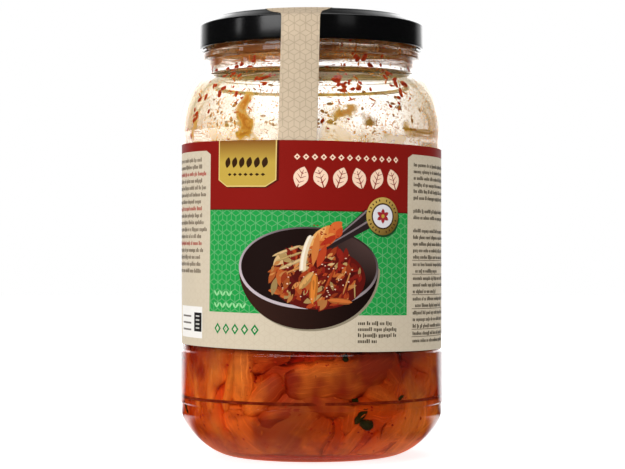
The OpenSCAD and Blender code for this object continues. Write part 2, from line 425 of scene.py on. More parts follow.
def block_lattice_group() -> bpy.types.NodeTree:
    """Build the group that masks the thin lines of a stacked-block hexagon lattice.

    Returns:
        A group with Vector, Pitch and Width in and Mask out.
    """
    tree, graph, given, result = new_group("block lattice", {"Vector": None, "Pitch": 4.5, "Width": 0.05}, ("Mask",))
    tile = (1.0, math.sqrt(3.0), 1.0)
    half = tuple(side / 2 for side in tile)
    scaled = graph.vector("DIVIDE", given["Vector"], given["Pitch"])
    moved = graph.vector("ADD", scaled, tuple(200.0 * side for side in tile))

    def nearest(offset: Colour) -> bpy.types.NodeSocket:
        """Place within the tile, from the centre of one of its two hexagons."""
        wrapped = graph.vector("MODULO", graph.vector("SUBTRACT", moved, offset), tile)
        return graph.vector("MULTIPLY", graph.vector("SUBTRACT", wrapped, half), (1.0, 1.0, 0.0))

    first, second = nearest((0.0, 0.0, 0.0)), nearest(half)
    closer = graph.math("LESS_THAN", graph.vector("LENGTH", first), graph.vector("LENGTH", second))
    place = graph.add("ShaderNodeMix", {0: closer, 4: second, 5: first}, data_type="VECTOR").outputs[1]
    across, up = (graph.math("ABSOLUTE", part) for part in graph.split(place)[:2])
    slanted = graph.math("MULTIPLY_ADD", across, 0.5, graph.times(up, math.sqrt(0.75)))
    nearest_line = graph.math("SUBTRACT", 0.5, graph.math("MAXIMUM", across, slanted))
    for turn in (90.0, 210.0, 330.0):
        spoke = (math.cos(math.radians(turn)), math.sin(math.radians(turn)), 0.0)
        off = graph.math("ABSOLUTE", graph.vector("DOT_PRODUCT", place, (-spoke[1], spoke[0], 0.0)))
        behind = graph.math("MAXIMUM", graph.times(graph.vector("DOT_PRODUCT", place, spoke), -9.0), 0.0)
        nearest_line = graph.math("MINIMUM", nearest_line, graph.math("ADD", off, behind))
    soft = graph.ramp(nearest_line, graph.times(given["Width"], 0.4), given["Width"], (1.0, 0.0))
    graph.feed(result["Mask"], soft)
    return tree


def mottle_group() -> bpy.types.NodeTree:
    """Build the group that gives broad and fine uneven tone."""
    tree, graph, given, result = new_group(
        "mottle", {"Vector": None, "Scale": 60.0, "Amount": 0.1}, ("Factor", "Grain"))
    broad = graph.noise(given["Vector"], given["Scale"], 2.0)
    fine = graph.noise(given["Vector"], graph.times(given["Scale"], 14.0), 4.0, 0.7)
    both = graph.math("MULTIPLY_ADD", fine, 0.35, graph.times(broad, 0.65))
    swing = graph.times(graph.math("SUBTRACT", both, 0.5), graph.times(given["Amount"], 2.0))
    graph.feed(result["Factor"], graph.math("ADD", swing, 1.0))
    graph.feed(result["Grain"], fine)
    return tree


@dataclass
class Groups:
    """Shader groups that several finishes share."""

    lattice: bpy.types.NodeTree = field(default_factory=block_lattice_group)
    mottle: bpy.types.NodeTree = field(default_factory=mottle_group)


@dataclass(frozen=True)
class Finish:
    """What every finish starts from: a named material with one Principled shader."""

    name: str
    colour: Colour
    roughness: float = 0.5
    ior: float = 1.5
    specular: float = 0.5
    groups: Groups | None = None

    def start(self) -> tuple[bpy.types.Material, Graph, bpy.types.Node, bpy.types.Node]:
        """Make the material, with its plain values set on the shader's own sockets."""
        material = bpy.data.materials.new(self.name)
        material.use_nodes = True
        material.node_tree.nodes.clear()
        graph = Graph(material.node_tree)
        shader = graph.add("ShaderNodeBsdfPrincipled", {
            "Base Color": self.colour, "Roughness": self.roughness, "IOR": self.ior,
            "Specular IOR Level": self.specular,
        })
        output = graph.add("ShaderNodeOutputMaterial", {"Surface": shader.outputs[0]})
        return material, graph, shader, output

    def start_clear(self, tint: Colour) -> tuple[bpy.types.Material, Graph, bpy.types.Node, bpy.types.Node]:
        """Start a clear solid that lets tinted lamp light pass, so that what it holds is lit."""
        material, graph, shader, output = self.start()
        shader.inputs["Transmission Weight"].default_value = 1.0
        open_way = graph.add("ShaderNodeBsdfTransparent", {"Color": tint})
        shadow = graph.add("ShaderNodeLightPath").outputs["Is Shadow Ray"]
        graph.feed(output.inputs["Surface"], graph.either(shadow, shader, open_way))
        return material, graph, shader, output

    def mottle(
        self, graph: Graph, shader: bpy.types.Node, base: Input, place: Input, size: Vec2, relief: Vec2
    ) -> None:
        """Colour a shader unevenly and give it a relief of the same grain."""
        factor, grain = graph.group(self.groups.mottle, Vector=place, Scale=size[0], Amount=size[1])
        graph.feed(shader.inputs["Base Color"], graph.vector("MULTIPLY", base, factor))
        graph.bump(shader, grain, *relief)


@dataclass(frozen=True)
class ClearGlass(Finish):
    """Flint glass with a faint moulded waviness."""

    waviness: float = 0.02

    def build(self) -> bpy.types.Material:
        """Make the glass."""
        material, graph, shader, _ = self.start_clear((0.96, 0.97, 0.96))
        graph.bump(shader, graph.noise(graph.spot(), 22.0, 1.0), self.waviness, 0.01)
        return material


@dataclass(frozen=True)
class Brine(Finish):
    """Chilli-red brine that swallows green and blue light within a few millimetres."""

    absorbed: Colour = (0.965, 0.37, 0.03)
    density: float = 460.0

    def build(self) -> bpy.types.Material:
        """Make the brine."""
        material, graph, _, output = self.start_clear(WHITE)
        soak = graph.add("ShaderNodeVolumeAbsorption", {"Color": self.absorbed, "Density": self.density})
        graph.feed(output.inputs["Volume"], soak.outputs[0])
        return material


@dataclass(frozen=True)
class Enamel(Finish):
    """Gloss enamel with the faint pull lines of pressed sheet."""

    def build(self) -> bpy.types.Material:
        """Make the enamel."""
        material, graph, shader, _ = self.start()
        wear = graph.noise(graph.stretched(graph.spot(), (1.0, 1.0, 4.0)), 90.0, 4.0)
        graph.feed(shader.inputs["Roughness"], graph.ramp(wear, 0.3, 0.75, (self.roughness, self.roughness + 0.04)))
        graph.bump(shader, graph.noise(graph.spot(), 900.0, 2.0), 0.02, PAPER_DEPTH)
        return material


@dataclass(frozen=True)
class LatticePaper(Finish):
    """Printed paper whose ground carries a faint stacked-block lattice."""

    line: Colour = (0.3, 0.25, 0.2)
    line_share: float = 0.3
    unevenness: float = 0.04

    def lattice(self, graph: Graph) -> tuple[bpy.types.NodeSocket, bpy.types.NodeSocket]:
        """Place on the flat paper, and mask of the lattice's lines there."""
        place = graph.stored("print_mm")
        return place, graph.group(self.groups.lattice, Vector=place, Pitch=4.5, Width=0.045)["Mask"]

    def build(self) -> bpy.types.Material:
        """Make the paper."""
        material, graph, shader, _ = self.start()
        place, lines = self.lattice(graph)
        ground = graph.mix(graph.times(lines, self.line_share), self.colour, self.line)
        self.mottle(graph, shader, ground, place, (0.16, self.unevenness), (0.12, PAPER_DEPTH))
        return material


@dataclass(frozen=True)
class PrintedInk(LatticePaper):
    """Ink whose colour and lattice share come from the printed shapes themselves."""

    line: Colour = (0.75, 0.85, 0.7)
    line_share: float = 0.16

    def build(self) -> bpy.types.Material:
        """Make the ink."""
        material, graph, shader, _ = self.start()
        place, lines = self.lattice(graph)
        share = graph.times(lines, graph.times(graph.stored("ink", "Alpha"), self.line_share))
        lined = graph.mix(share, graph.stored("ink", "Color"), self.line)
        self.mottle(graph, shader, lined, place, (0.06, 0.05), (0.1, PAPER_DEPTH))
        return material


@dataclass(frozen=True)
class CabbageFlesh(Finish):
    """Wet cabbage, each piece toned by its own attribute, with veins, chilli stain and painted shade that darkens it
    towards the top.
    """

    stain: Colour = (0.26, 0.022, 0.004)
    # The broad tone runs from this deep colour to the bright one: random patches, plus painted shade that darkens the
    # pieces towards the top.
    deep: Colour = (0.2, 0.011, 0.004)
    bright_and_lit_orange: Colour = (1.0, 0.31, 0.03)

    def build(self) -> bpy.types.Material:
        """Make the flesh."""
        material, graph, shader, _ = self.start()
        spot = graph.spot()
        fibres = graph.noise(graph.stretched(graph.stored("fibre"), (0.08, 1.1, 1.0)), 1.0, 4.0, 0.6)
        patches = graph.ramp(graph.noise(spot, 75.0, 4.0, 0.6), 0.45, 0.75)
        # Painted shade: the broad tone darkens towards the top, where the label shades the pieces, and a little
        # towards +X; the noise adds random tone.
        painted_shade_slope = graph.vector("DOT_PRODUCT", spot, (-0.3, 0.0, -3.0))
        tone_and_painted_shade = graph.math("ADD", graph.noise(spot, 38.0, 3.0), painted_shade_slope)
        broad = graph.mix(graph.ramp(tone_and_painted_shade, 0.33, 0.55), self.deep, self.bright_and_lit_orange)
        toned = graph.mix(0.64, graph.stored("tone", "Color"), broad)
        stained = graph.mix(graph.times(patches, 0.65), toned, self.stain)
        pale = graph.vector("MULTIPLY", stained, (1.35, 1.6, 1.9))
        lined = graph.mix(graph.ramp(fibres, 0.5, 0.72), stained, pale)
        fleck = graph.ramp(graph.noise(spot, 520.0, 2.0), 0.68, 0.76, (0.0, 0.6))
        graph.feed(shader.inputs["Base Color"], graph.mix(fleck, lined, self.stain))
        graph.bump(shader, fibres, 0.35, FOOD_DEPTH)
        shader.inputs["Subsurface Weight"].default_value = 0.15
        shader.inputs["Subsurface Radius"].default_value = (0.003, 0.0012, 0.0005)
        shader.inputs["Subsurface Scale"].default_value = 1.0
        return material


@dataclass(frozen=True)
class FoodScrap(Finish):
    """Chilli flakes, scallion, the dark mass behind and the painted ledge shade, with mottled tone."""

    second: Colour = (0.1, 0.01, 0.0)
    scale: float = 300.0

    def build(self) -> bpy.types.Material:
        """Make the scrap's finish."""
        material, graph, shader, _ = self.start()
        spot = graph.spot()
        patches = graph.ramp(graph.noise(spot, self.scale, 3.0), 0.4, 0.65)
        base = graph.mix(patches, self.colour, self.second)
        self.mottle(graph, shader, base, spot, (self.scale, 0.3), (0.4, FOOD_DEPTH))
        return material


@dataclass(frozen=True)
class WallFilm(Finish):
    """Thin brine left on the inside of the glass: cream high up, orange near the level."""

    cream: Colour = (1.0, 0.7, 0.16)
    yellow: Colour = (1.0, 0.6, 0.03)
    orange: Colour = (1.0, 0.36, 0.015)
    golden: Colour = (0.95, 0.46, 0.13)
    brown: Colour = (0.5, 0.15, 0.03)
    rust: Colour = (0.6, 0.2, 0.01)
    neck: float = 0.1572

    def build(self) -> bpy.types.Material:
        """Make the film, whose cover varies from nothing to a thick smear."""
        material, graph, shader, _ = self.start()
        spot = graph.spot()
        _, rearward, height = graph.split(spot)
        drip_share, near_level, side = graph.split(graph.stored("film"))
        facing = graph.ramp(rearward, -0.015, 0.015, (1.0, 0.12))
        in_neck = graph.times(graph.ramp(height, self.neck, self.neck + 0.003), facing)
        cloud = graph.ramp(graph.noise(spot, 55.0, 3.0, 0.6), 0.35, 0.65)
        dots = graph.ramp(graph.noise(spot, 1000.0, 2.0, 0.6), 0.59, 0.65)
        dotted = graph.times(dots, graph.ramp(graph.noise(spot, 70.0, 2.0), 0.38, 0.6))
        lines = graph.noise(graph.stretched(spot, (0.12, 0.12, 1.0)), 620.0, 2.0, 0.5)
        ragged = graph.ramp(graph.noise(spot, 300.0, 3.0), 0.25, 0.55)
        drip = graph.times(graph.ramp(drip_share, 0.08, 0.8), ragged)
        neck_tone = graph.mix(graph.ramp(lines, 0.4, 0.6), self.brown, self.golden)
        colour = graph.mix(near_level, self.cream, graph.mix(side, self.yellow, self.orange))
        for share, tone in ((dotted, self.orange), (in_neck, neck_tone), (drip, self.rust)):
            colour = graph.mix(share, colour, tone)
        graph.feed(shader.inputs["Base Color"], colour)
        cover = graph.math("MULTIPLY_ADD", cloud, 0.1, 0.12)
        cover = graph.math("MULTIPLY_ADD", side, 0.12, cover)
        cover = graph.math("MULTIPLY_ADD", graph.times(near_level, graph.math("ADD", cloud, 0.6)), 0.2, cover)
        cover = graph.times(cover, graph.ramp(height, 0.149, 0.155, (1.0, 0.25)))
        cover = graph.math("MULTIPLY_ADD", dotted, 0.5, cover)
        cover = graph.math("MULTIPLY_ADD", in_neck, graph.ramp(lines, 0.35, 0.65, (0.62, 0.22)), cover)
        cover = graph.math("MULTIPLY_ADD", drip, 1.3, cover, clamp=True)
        graph.feed(shader.inputs["Alpha"], cover)
        return material


# --- The glass jar


@dataclass
class GlassJar:
    """The jar's own glass, turned from the outline of its solid."""

    body_r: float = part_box("glass_jar")[1].x / MM
    height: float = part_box("glass_jar")[1].z / MM
    base_z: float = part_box("kimchi")[0].z / MM
    inner_r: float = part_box("kimchi")[1].x / MM
    panel_r: float = 53.55
    upper_r: float = 53.95
    heel_r: float = 53.7
    foot_r: float = 34.2
    foot_w: float = 3.0
    punt: float = 2.0
    heel_h: float = 17.8
    heel_power: float = 1.3
    ledge_z: float = 22.5
    panel_z: float = 43.6
    panel_to_lip: float = 49.3
    bumper_rise: float = 4.0
    shoulder_h: float = 24.5
    shoulder_inset: float = 2.6
    neck_r: float = 42.9
    finish_t: float = 3.4
    finish_h: float = 12.3
    bead_h: float = 3.5
    bead_out: float = 2.5
    lip_r: float = 1.4
    thread_out: float = 1.4
    thread_n: int = 6

    @property
    def panel_top(self) -> float:
        """Height of the label panel's upper edge."""
        return self.height - self.panel_to_lip

    @property
    def bumper_z(self) -> float:
        """Height where the shoulder begins."""
        return self.panel_top + self.bumper_rise

    @property
    def mouth_r(self) -> float:
        """Radius of the mouth's bore."""
        return self.neck_r - self.finish_t

    @property
    def shoulder_centre(self) -> Vec2:
        """Centre of the shoulder's arc."""
        return (self.neck_r - self.shoulder_inset, self.bumper_z)

    def inner_outline(self) -> list[Vec2]:
        """Inside of the glass from the axis up to the lip."""
        foot, overlap = self.foot_r - 1.2, 2.0
        centre_r = self.mouth_r - overlap
        reach = self.inner_r - centre_r
        rise = self.shoulder_h - (self.panel_r - self.inner_r)
        end = math.degrees(math.acos(overlap / reach))
        return (
            dome(foot, self.base_z, 1.2, 2.0, 10)
            + heel(foot, self.inner_r, self.base_z, self.heel_h - 2.8, self.heel_power, 28)[1:]
            + [(self.inner_r, z) for z in (40.0, 70.0, 100.0)]
            + arc((centre_r, self.bumper_z), reach, rise, 0.0, end, 24)
            + [(self.mouth_r, self.height - self.finish_h - self.bead_h), (self.mouth_r, self.height - self.lip_r)]
        )

    def outer_outline(self) -> list[Vec2]:
        """Outside of the glass from the axis under the base up to the lip."""
        centre = self.shoulder_centre
        bead_top = self.height - self.finish_h
        bead_low = bead_top - self.bead_h
        bead_edge = self.neck_r + self.bead_out
        return (
            dome(self.foot_r - self.foot_w, 0.0, self.punt, 3.0, 10)
            + heel(self.foot_r, self.heel_r, 0.0, self.heel_h, self.heel_power, 30)
            + [(self.heel_r, self.ledge_z - 0.9), (self.body_r, self.ledge_z - 0.4), (self.body_r, self.ledge_z + 1.0),
               (self.body_r, self.panel_z - 0.7), (self.panel_r, self.panel_z), (self.panel_r, self.panel_top)]
            + arc(centre, self.upper_r - centre[0], self.shoulder_h, 0.0, 78.0, 30)
            + [(self.neck_r, bead_low - 3.5), (self.neck_r, bead_low), (bead_edge - 0.3, bead_low + 0.3),
               (bead_edge, bead_low + 1.0), (bead_edge, bead_top - 1.0), (bead_edge - 0.3, bead_top - 0.3)]
            + [(self.neck_r, bead_top + 0.35 * i) for i in range(30)]
            + arc((self.neck_r - self.lip_r, self.height - self.lip_r), self.lip_r, self.lip_r, 0.0, 90.0, 6)
        )

    def thread(self, angle: float, radius: float, height: float) -> float:
        """Swell of the interrupted thread at a place on the finish."""
        if abs(radius - self.neck_r) > 0.01 or height < self.height - self.finish_h + 0.5:
            return 0.0
        along = swell_share(angle, self.neck_r, self.thread_n, 10.0, 2.0)
        return self.thread_out * along * hump((height - self.height + 6.9) / 0.95)

    def build(self, finish: ClearGlass, wetted: ClearGlass, wet_top: float) -> bpy.types.Object:
        """Turn the glass and dress it."""
        raw_inside = self.inner_outline()
        lip = arc((self.mouth_r + self.lip_r, self.height - self.lip_r), self.lip_r, self.lip_r, 90.0, 180.0, 6)
        outline = softened(self.outer_outline(), 0.3) + lip[:-1] + softened(raw_inside, 1.5)[::-1]
        piece = lathe("jar_glass", outline, 256, swell=self.thread, sharp_angle=60.0)

        def is_wet(middle: Vector, normal: Vector) -> bool:
            """Whether a face is on the inside and under the brine."""
            inside = middle.xy.length < radius_at(raw_inside, middle.z) + 0.4
            return inside and self.base_z - 0.5 < middle.z < wet_top

        second_finish(piece, finish.build(), wetted.build(), is_wet)
        return fix(piece, Slot.GLASS, piece.data.materials[0], "glass_jar")


# --- The lid


@dataclass
class LugLid:
    """Pressed steel lid with a rolled hem, a stepped shoulder, a ring and a button."""

    radius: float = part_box("lid")[1].x / MM
    top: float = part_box("lid")[1].z / MM
    foot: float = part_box("lid")[0].z / MM
    lip_z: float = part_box("glass_jar")[1].z / MM
    metal: float = 0.4
    hem_r: float = 0.8
    lug_n: int = 6
    finish_r: float = 42.9
    panel_drop: float = 0.8
    panel_r: float = 37.5
    button_r: float = 14.0
    button_drop: float = 0.5

    @property
    def skirt_top(self) -> float:
        """Height of the top of the straight skirt."""
        return self.top - 3.6

    def crown(self) -> list[Vec2]:
        """Outside from the skirt's top over the ledge and the ring to the panel."""
        ring = self.radius - 6.2
        return (
            arc((self.radius - 1.0, self.skirt_top - 0.2), 1.0, 1.0, 0.0, 60.0, 6)
            + [(ring + 2.0, self.top - 1.1)]
            + arc((ring, self.top - 0.9), 0.9, 0.9, 40.0, 90.0, 6)
            + [(self.panel_r + 2.0, self.top), (self.panel_r, self.top - self.panel_drop)]
        )

    def lug(self, angle: float, radius: float, height: float) -> float:
        """Inward bulge of each lug, on the hem's inner side."""
        inside = self.radius - self.metal - 0.01
        if radius > inside or radius < inside - 1.4 or height > self.foot + 3.0:
            return 0.0
        along = swell_share(angle, radius, self.lug_n, 3.5, 1.2)
        return -(radius - self.finish_r - 0.7) * along * hump((height - self.foot - 1.4) / 1.2)

    def build(self, enamel: Enamel, lacquer: Enamel, compound: Finish) -> None:
        """Make the lid's shell, pale inside, and the sealing ring in it."""
        hem_start = math.degrees(math.acos((self.hem_r - self.metal) / self.hem_r))
        face, skirt_in = self.top - self.panel_drop, self.radius - self.metal
        button = [
            (self.button_r + 2.5, face), (self.button_r + 1.2, face - 0.12), (self.button_r, face - self.button_drop),
            (6.0, face - self.button_drop + 0.05), (0.0, face - self.button_drop + 0.08),
        ]
        upper = arc((self.radius - self.hem_r, self.foot + self.hem_r), self.hem_r, self.hem_r, hem_start, 360.0, 18)
        upper += softened(self.crown(), 0.6) + button
        lower = [(r, z - self.metal) for r, z in reversed(button)]
        lower += [
            (self.panel_r - 0.5, face - self.metal), (self.panel_r + 1.6, self.top - self.metal),
            (self.radius - 6.4, self.top - self.metal), (self.radius - 4.4, self.top - 1.1 - self.metal),
            (skirt_in - 0.4, self.skirt_top + 0.3), (skirt_in, self.skirt_top - 0.4),
        ]
        lower += [(skirt_in, self.foot + 3.0 - 0.2 * i) for i in range(8)]
        shell = lathe("lid_shell", upper + lower, 256, closed=True, swell=self.lug, sharp_angle=50.0)

        def is_inside(middle: Vector, normal: Vector) -> bool:
            """Whether a face looks down or inwards within the skirt."""
            reach = middle.xy.length
            inward = normal.xy.dot(middle.xy) < -0.3 * reach and reach > skirt_in - 2.0
            return middle.z > self.foot + 2.2 and reach < skirt_in + 0.05 and (normal.z < -0.3 or inward)

        second_finish(shell, enamel.build(), lacquer.build(), is_inside)
        fix(shell, Slot.LID, shell.data.materials[0], "lid")
        ring = ((-3.2, 1.25), (-3.4, 0.5), (-2.6, 0.0), (-0.6, 0.0), (-0.3, 0.3), (-1.0, 0.8), (-2.2, 1.3))
        outline = softened([(self.finish_r + r, self.lip_z + z) for r, z in ring], 0.2)
        fix(lathe("lid_sealing_ring", outline, 192, closed=True), Slot.LID, compound.start()[0])


# --- The label and its print


@dataclass
class LabelSheet:
    """Where a place on the flat label lies on the jar, and the label's paper."""

    radius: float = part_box("label")[1].x / MM
    low: float = 45.0
    high: float = 126.7
    skew: float = 1.1
    end_gap: float = 10.0
    thickness: float = 0.15
    step: float = 2.0

    @property
    def height(self) -> float:
        """Height of the paper."""
        return self.high - self.low

    @property
    def half(self) -> float:
        """Half of the paper's length round the jar."""
        return math.pi * self.radius - self.end_gap / 2

    def place(self, along: float, up: float, lift: float = 0.0) -> Vector:
        """Map a place on the flat paper onto the jar."""
        angle = along / self.radius
        flat = Vector((self.radius * math.sin(angle), -self.radius * math.cos(angle), up - self.height / 2))
        point = Matrix.Rotation(math.radians(self.skew), 3, "Y") @ flat
        round_xy = Vector((point.x, point.y)).normalized() * (self.radius + lift)
        return Vector((round_xy.x, round_xy.y, point.z + (self.low + self.high) / 2)) * MM

    def columns(self) -> list[float]:
        """Places round the jar where the paper and every print layer are folded."""
        count = int(self.half / self.step)
        return [-self.half] + [self.step * i for i in range(-count, count + 1)] + [self.half]

    def build(self, paper: LatticePaper) -> bpy.types.Object:
        """Make the label's paper."""
        places = [[(s, self.height * i / 20) for s in self.columns()] for i in range(21)]
        front, back = ([[self.place(s, t, lift) for s, t in row] for row in places] for lift in (0.0, -self.thickness))
        piece = sheet_solid("label_sheet", front, back)
        mark_places(piece, sum(places, []) * 2)
        return fix(piece, Slot.LABEL, paper.build(), "label")


def mark_places(piece: bpy.types.Object, places: Sequence[Vec2]) -> None:
    """Store each vertex's place on the flat paper, for the lattice."""
    store = piece.data.attributes.new("print_mm", "FLOAT_VECTOR", "POINT")
    for item, (along, up) in zip(store.data, places):
        item.vector = (along, up, 0.0)


@dataclass
class Shape:
    """One printed shape on the flat label, in millimetres."""

    loop: list[Vec2]
    paint: Paint
    layer: Layer
    lattice: float = 0.0
    lift: float = 0.0


def clipped(loop: list[Vec2], axis: int, limit: float, sign: float) -> list[Vec2]:
    """Cut a loop at a straight line across one axis."""
    kept: list[Vec2] = []
    for here, after in zip(loop, loop[1:] + loop[:1]):
        from_line, to_line = sign * (here[axis] - limit), sign * (after[axis] - limit)
        if from_line >= 0:
            kept.append(here)
        if from_line * to_line < 0:
            share = from_line / (from_line - to_line)
            kept.append(tuple(a + (b - a) * share for a, b in zip(here, after)))
    return kept


def slabs(loop: list[Vec2], axis: int, step: float) -> list[list[Vec2]]:
    """Cut a loop into strips of one width."""
    low, high = min(p[axis] for p in loop), max(p[axis] for p in loop)
    numbers = range(math.floor(low / step), math.ceil(high / step)) if high - low >= 1e-9 else ()
    strips = (clipped(clipped(loop, axis, n * step, 1.0), axis, (n + 1) * step, -1.0) for n in numbers)
    return [strip for strip in strips if len(strip) >= 3]


@dataclass
class PrintRun:
    """All printed shapes of one piece, turned into one mesh that follows the paper."""

    sheet: LabelSheet
    shapes: list[Shape] = field(default_factory=list)

    def add(self, loop: Points, paint: Paint, layer: Layer, **more: float) -> None:
        """Add one shape."""
        self.shapes.append(Shape([tuple(p) for p in loop], paint, layer, **more))

    def box(self, left: float, low: float, right: float, high: float, *look: object, **more: float) -> None:
        """Add an upright rectangle of a paint on a layer."""
        self.add([(left, low), (right, low), (right, high), (left, high)], *look, **more)

    def ellipse(
        self, middle: Vec2, reach: float, rise: float, paint: Paint, layer: Layer, sides: int = 40, **more: float
    ) -> None:
        """Add an ellipse."""
        turn = 2 * math.pi / sides
        loop = [(middle[0] + reach * math.cos(i * turn), middle[1] + rise * math.sin(i * turn)) for i in range(sides)]
        self.add(loop, paint, layer, **more)

    def cut(self, shape: Shape) -> list[list[Vec2]]:
        """Cut a shape where the paper folds, and finely where its paint changes."""
        spread = max(p[0] for p in shape.loop) - min(p[0] for p in shape.loop)
        pieces = slabs(shape.loop, 0, self.sheet.step) if spread > self.sheet.step * 0.9 else [shape.loop]
        return [part for piece in pieces for part in slabs(piece, 1, 1.0)] if callable(shape.paint) else pieces

    def build(self, name: str, ink: bpy.types.Material) -> bpy.types.Object:
        """Make the mesh of the whole run.

        Args:
            name: Name of the piece.
            ink: The printed finish.

        Returns:
            The piece, seated on the jar.
        """
        vertices: list[Vector] = []
        places: list[Vec2] = []
        faces: list[list[int]] = []
        paints: list[tuple[float, ...]] = []
        for shape in self.shapes:
            known: dict[Vec2, int] = {}
            for piece in self.cut(shape):
                face = []
                for place in piece:
                    key = (round(place[0], 4), round(place[1], 4))
                    if key not in known:
                        known[key] = len(vertices)
                        vertices.append(self.sheet.place(*place, shape.layer.value + shape.lift))
                        places.append(place)
                    if known[key] not in face:
                        face.append(known[key])
                if len(face) >= 3:
                    faces.append(face)
                    looks = (shape.paint(*places[v]) if callable(shape.paint) else shape.paint for v in face)
                    paints += [(*look, shape.lattice) for look in looks]
        mesh = bpy.data.meshes.new(name)
        mesh.from_pydata([tuple(v) for v in vertices], [], faces)
        for item, paint in zip(mesh.color_attributes.new("ink", "FLOAT_COLOR", "CORNER").data, paints):
            item.color = paint
        piece = linked(name, mesh)
        mark_places(piece, places)
        with edited(mesh) as work:
            wrong = [f for f in work.faces if f.normal.dot(Vector((*f.calc_center_median().xy, 0.0))) < 0]
            bmesh.ops.reverse_faces(work, faces=wrong)
        return fix(piece, Slot.LABEL, ink)


def leaned(middle: Vec2, lean: float, points: Sequence[Vec2]) -> list[Vec2]:
    """Lean points by some degrees and move them to a middle."""
    c, n = math.cos(math.radians(lean)), math.sin(math.radians(lean))
    return [(middle[0] + s * c + t * n, middle[1] - s * n + t * c) for s, t in points]


def lozenge(middle: Vec2, reach: float, rise: float) -> list[Vec2]:
    """Outline of a lozenge."""
    s, t = middle
    return [(s - reach, t), (s, t - rise), (s + reach, t), (s, t + rise)]


def leaf(middle: Vec2, reach: float, rise: float, lean: float) -> list[Vec2]:
    """Outline of a pointed leaf that leans by some degrees."""
    half = [(reach * math.sin(math.pi * i / 16) ** 0.85, rise * (i / 8 - 1)) for i in range(17)]
    return leaned(middle, lean, half + [(-s, t) for s, t in half[-2:0:-1]])


def taper(start: Vec2, end: Vec2, first: float, last: float, low: float = -1.0, high: float = 1.0) -> list[Vector]:
    """Outline of a straight band."""
    a, b = Vector(start), Vector(end)
    side = Vector((a.y - b.y, b.x - a.x)).normalized()
    return [a + side * first * low, b + side * last * low, b + side * last * high, a + side * first * high]


